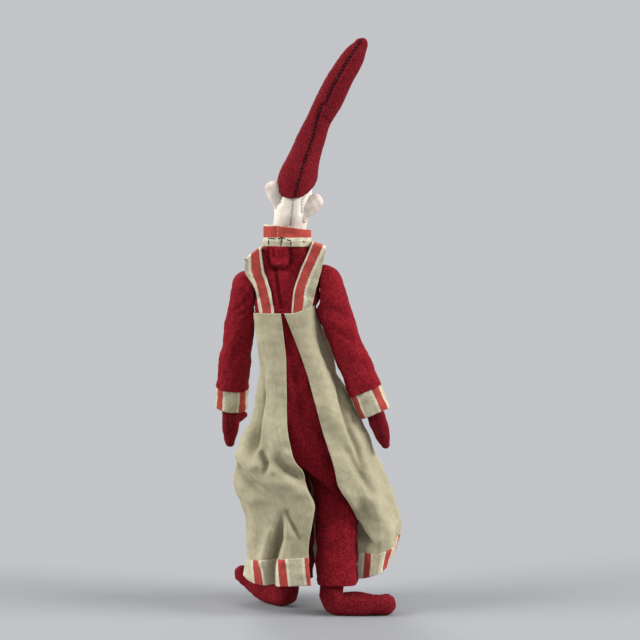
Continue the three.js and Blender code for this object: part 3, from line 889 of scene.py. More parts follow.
@dataclass(frozen=True)
class Ticking(Cloth):
    """Striped cotton ticking: coral bands with cream edges on an unbleached ground.

    Attributes:
        band: colour of the coral bands.
        edge: colour of the cream threads beside them.
        pitch: distance from band to band.
        band_width: width of a band.
        edge_width: width of the cream beside it.
    """

    band: str = "ab463d"
    edge: str = "cdc6ad"
    pitch: float = 16.5
    band_width: float = 5.2
    edge_width: float = 1.5

    # How far a band's edge wanders, over what width it blends, and how blotches darken and lighten the cloth.
    WANDER = 0.7
    SOFT = 0.2
    TONES = (0.8, 1.16)

    def colour(self, tree: Shading, mottle: Socket, uv: Socket) -> Socket:
        """Bands by the length across the cloth, with edges that wander by a thread.

        Args:
            tree: the material's nodes.
            mottle: noise from 0 to 1.
            uv: lengths over the cloth, in metres.

        Returns:
            The colour's socket.
        """
        across = tree.add("ShaderNodeSeparateXYZ", {0: uv}).outputs[0]
        strayed = {0: mottle, 1: self.WANDER * MM, 2: across}
        place = tree.add("ShaderNodeMath", strayed, operation="MULTIPLY_ADD").outputs[0]
        pitches = {0: place, 1: 1.0 / (self.pitch * MM)}
        count = tree.add("ShaderNodeMath", pitches, operation="MULTIPLY").outputs[0]
        share = tree.add("ShaderNodeMath", {0: count}, operation="FRACT").outputs[0]
        band = self.band_width / self.pitch
        edge = self.edge_width / self.pitch
        soft = self.SOFT / self.pitch
        stops = (
            (0.0, self.band),
            (band - soft, self.band),
            (band, self.edge),
            (band + edge, self.edge),
            (band + edge + soft, self.base),
            (1.0 - edge - soft, self.base),
            (1.0 - edge, self.edge),
            (1.0 - soft, self.edge),
        )
        stripes = tree.add("ShaderNodeValToRGB", {"Fac": share}, stops).outputs["Color"]
        return tree.scaled(stripes, mottle, MOST_NOISE, self.TONES)


@dataclass(frozen=True)
class Thread:
    """Twisted cotton sewing thread, slightly waxed, so that each ply catches the light.

    Attributes:
        name: the thread's kind.
        base: its colour.
        ply: length of one turn of the twist.
    """

    name: str
    base: str
    ply: float = 0.5

    # Depth of the grooves between the plies.
    RELIEF = 0.06

    def make(self) -> bpy.types.Material:
        """The material.

        Returns:
            A slanting wave of plies by the thread's own lengths.
        """
        made, tree = Shading.material(self.name)
        uv = tree.add("ShaderNodeUVMap", uv_map=WEAVE_UV).outputs["UV"]
        split = tree.add("ShaderNodeSeparateXYZ", {0: uv})
        both = tree.add("ShaderNodeMath", {0: split.outputs[0], 1: split.outputs[1]}, operation="ADD")
        turns = {0: both.outputs[0], 1: FULL_TURN / (self.ply * MM)}
        turn = tree.add("ShaderNodeMath", turns, operation="MULTIPLY")
        plies = tree.add("ShaderNodeMath", {0: turn.outputs[0]}, operation="SINE")
        bump = tree.add("ShaderNodeBump", {"Height": plies.outputs[0], "Distance": self.RELIEF * MM})
        fibre = {
            "Base Color": linear(self.base),
            "Roughness": 0.75,
            "Specular IOR Level": 0.3,
            "Normal": bump.outputs["Normal"],
        }
        tree.finish(fibre)
        return made


class Finish(Enum):
    """The doll's materials.

    Calico is a thin, plainly woven, unbleached cotton: near white, with a close grain. Felted wool shows
    no threads, only matted fibres in uneven red. Wool flannel has faint threads under its nap. Cotton
    canvas shows every thread and dries to a greyish straw. Threads are drawn wider apart than the
    quarter to half millimetre that they are, so that they show.
    """

    CALICO = Cloth(
        name="calico_plain_woven", dark="d8cdbf", base="e4dacc", pale="ece3d7", fleck="b0a193",
        mottle=9.0, thread=0.8, relief=0.12, flecked=0.1, sheen=0.1, uneven=0.05,
    )
    FELT = Cloth(
        name="felted_wool", dark="560812", base="700f19", pale="86202a", fleck="3a060c",
        mottle=1.0, thread=0.0, relief=0.30, flecked=0.7, sheen=0.05, uneven=0.0,
    )
    WOOL = Cloth(
        name="wool_flannel", dark="680c16", base="80131e", pale="92212b", fleck="3e070d",
        mottle=1.2, thread=0.9, relief=0.2, flecked=0.5, sheen=0.05, uneven=0.12,
    )
    CANVAS = Cloth(
        name="cotton_canvas_plain_woven", dark="a29a7e", base="a79f83", pale="aca488", fleck="7a6f54",
        mottle=3.0, thread=0.9, relief=0.12, flecked=0.2, sheen=0.05, uneven=0.09,
    )
    TICKING = Ticking(
        name="striped_cotton_ticking", dark="a89f7f", base="b6ae93", pale="c6bfa4", fleck="877b60",
        mottle=1.4, thread=0.8, relief=0.12, flecked=0.15, sheen=0.05, uneven=0.05,
    )
    BLACK_THREAD = Thread("black_cotton_thread", "1c1012")
    GREY_THREAD = Thread("grey_cotton_thread", "554a42")
    STRAW_THREAD = Thread("straw_cotton_thread", "bfb595")
    BROWN_THREAD = Thread("brown_cotton_thread", "3a2219")
    ROSE_THREAD = Thread("rose_cotton_thread", "964a48")


@cache
def material(finish: Finish) -> bpy.types.Material:
    """The material of a finish, made the first time that it is asked for."""
    return finish.value.make()


def dressed(
    made: bpy.types.Object, finish: Finish, body: str = "", nodes: Sequence[str] = ()
) -> bpy.types.Object:
    """Gives a piece its finish, its body and the solids that it stands for.

    Args:
        made: the piece.
        finish: its material.
        body: the body that it rides on; empty where it rides on none.
        nodes: solids that it replaces.

    Returns:
        The piece.
    """
    made.data.materials.append(material(finish))
    if isinstance(finish.value, Cloth):
        finish.name.lower()
    if body:
        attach(made, body)
    if nodes:
        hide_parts(*nodes)
    LOG.info("%s: %d faces, %s", made.name, len(made.data.polygons), finish.name.lower())
    return made


def thickened(made: bpy.types.Object, thickness: float) -> bpy.types.Object:
    """A sheet with its cloth's thickness added inwards.

    Args:
        made: the sheet.
        thickness: in millimetres.

    Returns:
        The same object, with a Solidify modifier.
    """
    modifier = made.modifiers.new("cloth", "SOLIDIFY")
    modifier.thickness = thickness * MM
    modifier.offset = -1.0
    return made


@dataclass(frozen=True)
class Stitching:
    """Running stitches of one thread.

    Attributes:
        length: length of a stitch on the face of the cloth.
        gap: length that runs under the cloth.
        radius: half the thread's thickness.
        rise: how high a stitch stands in its middle.
        slant: how far its ends stray to each side.
        seed: which stray they take.
    """

    length: float
    gap: float
    radius: float
    rise: float
    slant: float
    seed: int

    # Rings along a stitch and points round them; how far its ends sink and how thin they are, in radii.
    STEPS = 7
    SIDES = 6
    SUNK = 0.3
    POINT = 0.25

    def sewn(self, name: str, *lines: tuple[Array, Array]) -> bpy.types.Object:
        """Stitches along lines on a cloth.

        Args:
            name: the object's name.
            *lines: points (n, 3) of each line and the cloth's outward directions there.

        Returns:
            One object with all the stitches.
        """
        rings = np.concatenate([self._rings(points, normals) for points, normals in lines])
        first = np.arange(len(rings))[:, None, None] * self.STEPS * self.SIDES
        i = np.arange(self.STEPS - 1)[None, :, None] * self.SIDES
        j = np.arange(self.SIDES)[None, None, :]
        k = (j + 1) % self.SIDES
        low, high = first + i, first + i + self.SIDES
        quads = np.stack([low + j, low + k, high + k, high + j], axis=-1).reshape(-1, 4)
        ring = np.arange(self.SIDES)[None, :]
        start, end = first[:, 0], first[:, 0] + (self.STEPS - 1) * self.SIDES
        caps = np.concatenate([start + ring[:, ::-1], end + ring])
        corners = np.concatenate([quads.ravel(), caps.ravel()])
        totals = np.concatenate([np.full(len(quads), 4), np.full(len(caps), self.SIDES)])
        along = np.linspace(0.0, self.length, self.STEPS)[None, :, None]
        around = np.linspace(0.0, FULL_TURN * self.radius, self.SIDES)[None, None, :]
        lengths = np.stack(np.broadcast_arrays(along, around, rings[..., 0])[:2], axis=-1).reshape(-1, 2)
        places = (rings.reshape(-1, 3) + BODY_Y * AFT) * MM
        return filled_mesh(name, places, corners, totals, lengths[corners] * MM)

    def _rings(self, points: Array, normals: Array) -> Array:
        """The sections of the stitches on one line: small arches that narrow at both ends.

        Args:
            points: the line, (n, 3).
            normals: the cloth's outward directions on it.

        Returns:
            Points (stitches, steps along, sides round, 3).
        """
        path = Path(points)
        count = max(1, int(round(path.length / (self.length + self.gap))))
        u = np.linspace(0.0, 1.0, self.STEPS)[None, :]
        covered = self.length / (self.length + self.gap)
        share = (np.arange(count)[:, None] + 0.5 * (1.0 - covered) + covered * u) / count
        heading = path.heading(share)
        normal = np.stack([np.interp(share, path.shares, normals[:, k]) for k in range(3)], axis=-1)
        normal = unit(normal - heading * (normal * heading).sum(axis=-1, keepdims=True))
        side = np.cross(normal, heading)
        draw = np.random.default_rng(self.seed)
        stray = draw.uniform(-self.slant, self.slant, (count, 1)) * (2.0 * u - 1.0)
        arch = self.rise * np.sin(math.pi * u) - self.SUNK * self.radius
        centre = path.at(share) + normal * arch[..., None] + side * stray[..., None]
        turn = np.linspace(0.0, FULL_TURN, self.SIDES, endpoint=False)[None, None, :, None]
        swell = np.sqrt(np.maximum(np.sin(math.pi * u), 0.0))
        size = self.radius * (self.POINT + (1.0 - self.POINT) * swell)[..., None, None]
        around = np.cos(turn) * side[:, :, None, :] + np.sin(turn) * normal[:, :, None, :]
        return centre[:, :, None, :] + size * around


@dataclass
class Head:
    """The stuffed calico head with its ears and sewn face.

    Attributes:
        foot: level where the neck leaves the collar.
        height: height up to the crown's dome.
        dome: height of the dome.
        line: X of the head's middle by share of the height.
        half_width: half its width by share of the height.
        half_depth: half its depth by share of the height.
    """

    foot: float = 229.4
    height: float = 39.0
    dome: float = 8.0
    line: Profile = Profile(((0.0, 12.0), (0.35, 11.0), (0.7, 9.0), (1.0, 6.5)))
    half_width: Profile = Profile(((0.0, 9.4), (0.36, 10.3), (0.7, 11.2), (1.0, 8.6)))
    half_depth: Profile = Profile(((0.0, 9.0), (0.3, 9.8), (0.5, 11.6), (0.7, 12.2), (1.0, 9.6)))

    # Seams, ears and the face's forms, as places (X, Z) or (X, Z, height).
    EARS_Y = 5.2
    SEAM = ((10.9, 242.0), (10.2, 247.0), (9.3, 254.0), (8.7, 261.0))
    LEFT_GATHER = ((16.2, 263.4), (16.0, 259.6), (17.2, 255.4))
    RIGHT_GATHER = ((1.8, 260.4), (4.0, 257.2), (4.0, 249.8))
    EYES = ((5.0, 256.4), (14.0, 257.2))
    MOUTH = ((7.2, 245.6), (9.0, 244.7), (11.0, 244.5), (13.4, 245.6))
    CHEEKS = ((3.6, 250.2), (16.2, 250.8))
    NOSE = ((10.3, 249.4, 1.7), (9.9, 253.6, 1.45))
    CHIN = ((10.6, 240.6), (11.4, 240.6))
    LEFT_EAR = ((18.8, 253.6), (19.4, 259.2), (21.8, 265.6))
    RIGHT_EAR = ((3.4, 245.4), (1.6, 253.0), (-5.3, 257.0))
    # Satin stitches of an eye: its half width and half height, and where each lies; a brow's points from it.
    EYE = (1.1, 1.35)
    STRANDS = (-0.8, -0.4, 0.0, 0.4, 0.8)
    BROW = ((-1.7, 3.4), (0.0, 4.1), (1.7, 3.5))
    # Strength and spread of the cheeks' rosy tint; depth and roundness of the ears, the shade painted in that
    # tint towards their ends, and where it grows.
    ROSY = 0.45
    ROSY_SPREAD = 10.0
    EAR_FLATTER = 0.92
    EAR_ROUND = 0.85
    EAR_SHADE = 0.3
    EAR_SHADE_SHARES = (0.35, 1.0)

    def reliefs(self) -> list[Relief]:
        """The folds of the skin.

        Returns:
            Seam, gathers beside the ears and the face's soft forms.
        """
        found: list[Relief] = [Ripple(16.0, 0.18, 11), Ripple(6.0, 0.06, 12)]
        found.append(Crease.along(self.SEAM, -0.45, 0.8))
        for gather in (self.LEFT_GATHER, self.RIGHT_GATHER):
            found.append(Crease.along(gather, -0.6, 1.3))
        for x, z in self.EYES:
            found.append(Crease.along(((x - 0.4, z), (x + 0.4, z)), -0.6, 2.4, Facing.FRONT))
        for x, z in self.CHEEKS:
            found.append(Crease.along(((x, z), (x, z - 1.0)), 0.6, 3.4, Facing.FRONT))
        found.append(Crease(self.NOSE, 1.9, Facing.FRONT))
        found.append(Crease.along(self.MOUTH, -0.5, 0.8, Facing.FRONT))
        found.append(Crease.along(self.CHIN, 0.8, 3.2, Facing.FRONT))
        return found

    def build(self) -> None:
        """Lofts the head and ears and sews the seam, the gathers and the face."""
        share = np.linspace(0.0, 1.0, 60)
        levels = self.foot + self.height * share
        line = Path(np.column_stack([self.line(share), np.zeros_like(share), levels]))
        section = Section(self.half_width, self.half_depth, square=2.1, upright=True)
        form = section.limb(line, rows=96, sides=120, domes=(0.0, self.dome))
        self.skin = form.shaped(self.reliefs())
        towards = faces(self.skin.normals(), Facing.FRONT)
        blush_and_shade = np.zeros(self.skin.points.shape[:2])
        for x, z in self.CHEEKS + (self.NOSE[0][:2],):
            spot = (self.skin.points[..., 0] - x) ** 2 + (self.skin.points[..., 2] - z) ** 2
            blush_and_shade = np.maximum(blush_and_shade, self.ROSY * towards * np.exp(-spot / self.ROSY_SPREAD))
        self.skin.blush_and_shade = blush_and_shade
        self.head = self.skin.mesh("head_calico")
        self.left_ear = self._ear("left_ear_calico", self.LEFT_EAR, (2.0, 4.5, 4.7), seed=46)
        self.right_ear = self._ear("right_ear_calico", self.RIGHT_EAR, (3.0, 5.3, 4.7), seed=47)
        seam = Stitching(length=0.9, gap=0.7, radius=0.26, rise=0.22, slant=0.08, seed=21)
        gather = Stitching(length=1.1, gap=0.9, radius=0.24, rise=0.2, slant=0.3, seed=22)
        self.seams = [
            seam.sewn("head_seam", *self._laid(Facing.BACK, self.SEAM)),
            gather.sewn("ear_gathers", *self._laid(Facing.BACK, self.LEFT_GATHER, self.RIGHT_GATHER)),
        ]
        self._sew_face()

    def _sew_face(self) -> None:
        """Sews the satin eyes, the brows and the mouth."""
        satin, brows = [], []
        reach, rise = self.EYE
        for x, z in self.EYES:
            for shift in self.STRANDS:
                half = rise * math.sqrt(1.0 - (shift / reach) ** 2)
                satin.append(((x + shift, z - half), (x + shift, z + half)))
            brows.append(tuple((x + across, z + up) for across, up in self.BROW))
        eye = Stitching(length=2.6, gap=0.1, radius=0.3, rise=0.35, slant=0.0, seed=23)
        brow = Stitching(length=1.1, gap=0.15, radius=0.16, rise=0.12, slant=0.05, seed=24)
        lip = Stitching(length=1.2, gap=0.2, radius=0.2, rise=0.15, slant=0.08, seed=25)
        self.face = [
            eye.sewn("eyes_satin", *self._laid(Facing.FRONT, *satin)),
            brow.sewn("brow_stitches", *self._laid(Facing.FRONT, *brows)),
        ]
        self.mouth = lip.sewn("mouth_stitches", *self._laid(Facing.FRONT, self.MOUTH))

    def _laid(self, facing: Facing, *lines: Line) -> list[tuple[Array, Array]]:
        """Lines laid on one side of the head's skin."""
        return [self.skin.under(line, facing) for line in lines]

    def _ear(self, name: str, line: Line, sizes: Triple, seed: int) -> bpy.types.Object:
        """A stuffed knob of an ear.

        Args:
            name: the object's name.
            line: X and Z of its middle, from the head to where its round end starts.
            sizes: its half widths at the root, the middle and the end.
            seed: which unevenness it has.

        Returns:
            The ear, with painted shade in a dusky tint towards its end.
        """
        path = Path.bezier(*((x, self.EARS_Y, z) for x, z in line))
        width = Profile(((0.0, sizes[0]), (0.55, sizes[1]), (1.0, sizes[2])))
        domes = (2.0, self.EAR_ROUND * sizes[2])
        grid = Section(width, width.times(self.EAR_FLATTER)).limb(path, rows=30, sides=48, domes=domes)
        grid = grid.shaped([Ripple(7.0, 0.16, seed)])
        rows = np.linspace(0.0, 1.0, grid.points.shape[0])[:, None]
        # Shade painted on in the dusky tint, growing towards the ear's end.
        grid.blush_and_shade = self.EAR_SHADE * smooth(rows, *self.EAR_SHADE_SHARES) * np.ones(grid.points.shape[:2])
        return grid.mesh(name)

    def dress(self) -> None:
        """Gives the pieces their finishes and bodies."""
        stuffed = ((self.head, "head"), (self.left_ear, "left_ear"), (self.right_ear, "right_ear"))
        for made, solid in stuffed:
            dressed(made, Finish.CALICO, "head", [solid])
        for made in self.seams:
            dressed(made, Finish.GREY_THREAD, "head")
        for made in self.face:
            dressed(made, Finish.BROWN_THREAD, "head")
        dressed(self.mouth, Finish.ROSE_THREAD, "head")


@dataclass
class Hat:
    """The tall stuffed felt hat, one skin from its rim over the bend to its tip.

    Attributes:
        low: level where the middle line starts, inside the head.
        top: level where the tip's round end starts.
        tip: height of that end.
        line: X of the hat's middle by level.
        half_width: half its width by level.
        rim: level of the rim by degrees round from the back.
    """

    low: float = 256.0
    top: float = 353.2
    tip: float = 4.6
    line: Profile = Profile((
        (256.0, 10.0), (274.6, 5.2), (286.0, 1.5), (301.0, -4.3), (307.0, -6.9),
        (316.0, -11.4), (331.0, -19.4), (346.0, -28.2), (353.2, -32.6),
    ))
    half_width: Profile = Profile((
        (256.0, 12.2), (268.0, 12.2), (274.0, 11.7), (280.0, 10.5), (287.0, 9.5),
        (294.0, 8.9), (301.0, 8.2), (305.5, 7.7), (310.0, 7.7), (318.0, 8.1),
        (326.0, 8.2), (336.0, 7.8), (344.0, 6.9), (349.0, 5.8), (353.2, 4.2),
    ))
    rim: Profile = Profile((
        (0.0, 258.3), (30.0, 259.8), (60.0, 264.5), (90.0, 270.5), (130.0, 272.5), (180.0, 272.0),
    ))

    # The seam's line below and above the bend, the nip at the bend, points round and along the hat.
    SEAM = ((8.1, 260.0), (2.4, 281.0), (-2.6, 295.0), (-5.8, 306.5), (-8.5, 315.5))
    TIP_SEAM = ((-10.5, 315.6), (-15.8, 327.5), (-25.6, 344.5), (-32.9, 356.0))
    NIP = ((-13.5, 305.0, -0.8), (-8.5, 307.5, -0.3))
    SIDES = 112
    STEPS = 120
    ROWS = 190

    # The rim's slope across, how its edge is turned up and in, and where the head makes the hat deeper.
    TILT = 0.3
    TILT_LEVEL = 272.0
    TURNED_UP = (6.0, 1.2, 0.1)
    TURNED_IN = (0.82, 0.87, 0.92)
    RIM_SCALE = 0.97
    FULLER = 1.4
    FULLER_LEVELS = (266.0, 300.0)
    BEND = ((-3.5 * MM, BODY_Y * MM, 299.0 * MM), (-10.2 * MM, BODY_Y * MM, 315.0 * MM))

    def build(self) -> None:
        """Carries the round section up the bent line, presses the seam in and sews it."""
        levels = np.linspace(self.low, self.top, self.STEPS)
        path = Path(np.column_stack([self.line(levels), np.zeros(self.STEPS), levels]))

        def share_of(level: Array) -> Array:
            """The share of the middle line at a level."""
            return np.interp(level, levels, path.shares)

        def width(share: Array) -> Array:
            """Half the width at a share of the middle line."""
            return self.half_width(np.interp(share, path.shares, levels))

        def depth(share: Array) -> Array:
            """Half the depth there, fuller near the rim, where the head fills it."""
            level = np.interp(share, path.shares, levels)
            return width(share) + self.FULLER * (1.0 - smooth(level, *self.FULLER_LEVELS))

        angle = ring_angles(self.SIDES)[None, :]
        tilt = self.TILT * float(self.half_width(self.TILT_LEVEL))
        rim = self.rim(np.degrees(np.abs(angle))) - tilt * np.sin(angle)
        start = share_of(rim)
        rows = np.linspace(0.0, 1.0, self.ROWS)[:, None]
        turn = Section.DOME_TURNS[:, None]
        ones = np.ones((1, self.SIDES))
        inner = share_of(rim + np.array(self.TURNED_UP)[:, None])
        share = np.concatenate([inner, start + (1.0 - start) * rows, ones * np.ones_like(turn)])
        turned_in = np.array(self.TURNED_IN)[:, None]
        scale = np.concatenate([turned_in, np.ones_like(rows), np.cos(turn)]) * ones
        scale[len(turned_in)] = self.RIM_SCALE
        level = np.zeros((len(turned_in) + len(rows), 1))
        shift = np.concatenate([level, self.tip * np.sin(turn)]) * ones
        points = Section(width, depth).carried(path, share, angle, scale, shift)
        form = Grid(points, True, (False, True), anchor=self.SIDES // 2)
        reliefs: list[Relief] = [Ripple(22.0, 0.15, 41), Ripple(5.0, 0.05, 42)]
        for seam in (self.SEAM, self.TIP_SEAM):
            reliefs.append(Crease.along(seam, -1.1, 1.3))
            for side in (-2.2, 2.2):
                reliefs.append(Crease.along(tuple((x + side, z) for x, z in seam), 0.3, 1.2))
        reliefs.append(Crease(self.NIP, 1.6))
        reliefs.append(Crease(self.NIP, 1.6, Facing.FRONT))
        reliefs.append(Crease(((0.5, 308.5, -0.5), (-4.0, 307.5, -0.2)), 1.6))
        self.skin = form.shaped(reliefs)
        self.hat = self.skin.mesh("hat_felt")
        thread = Stitching(length=2.2, gap=0.15, radius=0.55, rise=0.55, slant=0.5, seed=43)
        self.seams = [
            thread.sewn("hat_base_seam", self.skin.under(self.SEAM)),
            thread.sewn("hat_tip_seam", self.skin.under(self.TIP_SEAM)),
        ]

    def dress(self) -> None:
        """Gives the hat and its seams their finishes in place of both hat solids, and bakes their placing
        into the meshes.
        """
        dressed(self.hat, Finish.FELT, nodes=["hat_base", "hat_tip"])
        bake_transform(self.hat)
        for seam in self.seams:
            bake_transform(dressed(seam, Finish.BLACK_THREAD))


@dataclass
class Suit:
    """The stuffed torso in its red wool suit: bodice above the waist and trouser seat below it.

    Attributes:
        line: X of the middle by level.
        half_width: half the width by level.
        half_depth: half the depth by level.
        square: exponent of the sections.
        waist: level of the seam between bodice and seat.
        neck: level of the top edge.
        bodice_cut: width and length of the bodice's cloth; not used.
        seat_cut: width and length of the seat's cloth; not used.
    """

    line: Profile = Profile((
        (70.0, 0.0), (88.0, 0.0), (111.8, 2.0), (150.4, 9.0),
        (190.0, 14.2), (195.0, 13.3), (204.0, 13.0), (229.0, 13.0),
    ))
    half_width: Profile = Profile((
        (70.0, 23.0), (88.0, 23.0), (111.8, 22.0), (150.4, 17.6), (184.0, 16.8), (190.0, 18.4),
        (195.0, 20.3), (204.0, 20.2), (214.0, 20.2), (222.75, 18.8), (229.0, 14.5),
    ))
    half_depth: Profile = Profile((
        (70.0, 14.0), (88.0, 14.5), (111.8, 15.5), (150.4, 13.5), (190.0, 11.5), (204.0, 11.5), (229.0, 11.5),
    ))
    square: float = 3.0
    waist: float = 190.0
    neck: float = 229.2
    bodice_cut: Pair = (0.116, 0.044)
    seat_cut: Pair = (0.140, 0.125)

    # The outline of the pouch of loose cloth under the collar, and points round the suit.
    POUCH = ((22.6, 229.0), (22.2, 222.5), (20.0, 218.4), (16.2, 217.6), (13.6, 220.8), (12.8, 229.0))
    SIDES = 168

    # The stuffed torso's levels and how far it lies inside the suit, along it and at its ends.
    TORSO = (106.0, 228.5)
    TORSO_INSET = 4.2
    TORSO_END = 10.0

    # The bodice's lap over the seat; the seat's slanting edge, the cosines where it passes from the front to
    # the back, and how it is turned up and in.
    LAP = 3.0
    SEAT_EDGE = 98.4
    SEAT_SLOPE = 0.763
    SEAT_EDGE_X = 10.7
    SEAT_LEAST = 74.0
    SEAT_FRONT = 84.0
    SEAT_TURN = (-0.3, 0.1)
    HIPS = 88.0
    TURNED_UP = (7.0, 3.0, 0.4, -0.7, -0.4)
    TURNED_IN = (5.0, 4.0, 2.6, 1.2, 0.3)

    def ring(self, level: Array, angle: Array, inset: Array | float = 0.0) -> Array:
        """Points round the suit: rounded sine across and rounded cosine fore and aft.

        Args:
            level: levels, on the grid.
            angle: angles from the back towards +X, on the grid.
            inset: how far inside the outer face.

        Returns:
            Points on the grid.
        """
        level, angle, inset = np.broadcast_arrays(level, angle, inset)
        x = self.line(level) + (self.half_width(level) - inset) * rounded(np.sin(angle), self.square)
        y = (self.half_depth(level) - inset) * rounded(np.cos(angle), self.square)
        return np.stack([x, y, level], axis=-1)

    def depth(self, x: Array, z: Array) -> Array:
        """How far behind the middle the suit's back lies at a place."""
        share = np.minimum(np.abs((x - self.line(z)) / self.half_width(z)), 1.0)
        return self.half_depth(z) * (1.0 - share**self.square) ** (1.0 / self.square)

    def build(self) -> None:
        """Wraps the bodice and the seat round the stuffed torso."""
        angle = ring_angles(self.SIDES)[None, :]
        levels = np.linspace(*self.TORSO, 40)[:, None]
        core = np.concatenate([levels[:1], levels, levels[-1:]])
        end = [[self.TORSO_END]]
        inset = np.concatenate([end, np.full_like(levels, self.TORSO_INSET), end])
        torso = Grid(self.ring(core, ring_angles(48)[None, :], inset), True, (True, True))
        self.torso = torso.mesh("torso_calico")
        levels = np.linspace(self.waist - self.LAP, self.neck, 74)[:, None]
        chest = Grid(self.ring(levels, angle), True, anchor=self.SIDES // 2)
        reliefs: list[Relief] = [
            Ripple(13.0, 0.25, 51),
            Ripple(5.0, 0.08, 52),
            Crease.along(self.POUCH, 2.8, 1.4),
            Crease(((17.5, 227.0, 2.8), (17.3, 221.5, 2.4)), 3.6),
            Crease(((22.8, 218.0, -2.2), (19.6, 215.2, -2.6), (15.0, 214.8, -2.6), (11.4, 218.6, -2.0)), 1.3),
            Crease(((24.0, 229.0, -2.2), (23.6, 220.0, -2.2)), 1.2),
            Crease(((11.2, 229.0, -2.0), (10.9, 220.0, -1.8)), 1.1),
            Crease(((20.0, 215.0, -1.6), (18.2, 204.0, -1.8), (16.4, 190.0, -1.4)), 1.2),
            Crease(((22.2, 212.0, 0.7), (20.6, 202.0, 0.8), (19.0, 192.0, 0.5)), 1.6),
            Crease(((15.6, 211.0, 0.8), (14.6, 200.0, 0.9), (13.6, 191.0, 0.6)), 1.8),
            Crease(((10.6, 214.0, -0.8), (11.8, 203.0, -0.9), (13.2, 190.0, -0.7)), 1.2),
        ]
        self.bodice = thickened(chest.shaped(reliefs).mesh("bodice_wool"), WOOL_THICK)
        self.seat = thickened(self._seat(angle).mesh("trouser_seat_wool"), WOOL_THICK)

    def _seat(self, angle: Array) -> Grid:
        """The seat's cloth, whose lower edge slants down to the right behind and is turned in.

        Args:
            angle: the grid's angles.

        Returns:
            The grid, from the turned-in edge up to the waist.
        """
        x = self.line(self.HIPS) + self.half_width(self.HIPS) * rounded(np.sin(angle), self.square)
        slant = self.SEAT_EDGE - self.SEAT_SLOPE * (self.SEAT_EDGE_X - x)
        slant = np.clip(slant, self.SEAT_LEAST, self.SEAT_EDGE)
        edge = self.SEAT_FRONT + (slant - self.SEAT_FRONT) * smooth(np.cos(angle), *self.SEAT_TURN)
        turned_up = np.array(self.TURNED_UP)[:, None]
        turned_in = np.array(self.TURNED_IN)[:, None]
        rows = np.linspace(0.006, 1.0, 130)[:, None]
        level = np.concatenate([edge + turned_up, edge + (self.waist + 0.5 - edge) * rows])
        inset = np.concatenate([turned_in, np.zeros_like(rows)])
        cloth = Grid(self.ring(level, angle, inset), True, anchor=self.SIDES // 2)
        reliefs: list[Relief] = [
            Ripple(17.0, 0.4, 61),
            Ripple(6.0, 0.1, 62),
            Crease(((14.2, 188.0, -0.5), (9.0, 150.0, -0.6), (4.0, 118.0, -0.5), (1.5, 104.0, -0.2)), 1.0),
            Crease(((7.0, 112.0, 0.9), (-4.0, 100.0, 1.2), (-16.0, 88.0, 0.9)), 4.0),
            Crease(((-2.0, 122.0, -0.8), (-12.0, 108.0, -0.9)), 2.6),
        ]
        return cloth.shaped(reliefs)

    def dress(self) -> None:
        dressed(self.torso, Finish.CALICO, "body", ["torso"])
        dressed(self.bodice, Finish.WOOL, "body", ["bodice"])
        dressed(self.seat, Finish.WOOL, "body", ["trouser_seat"])


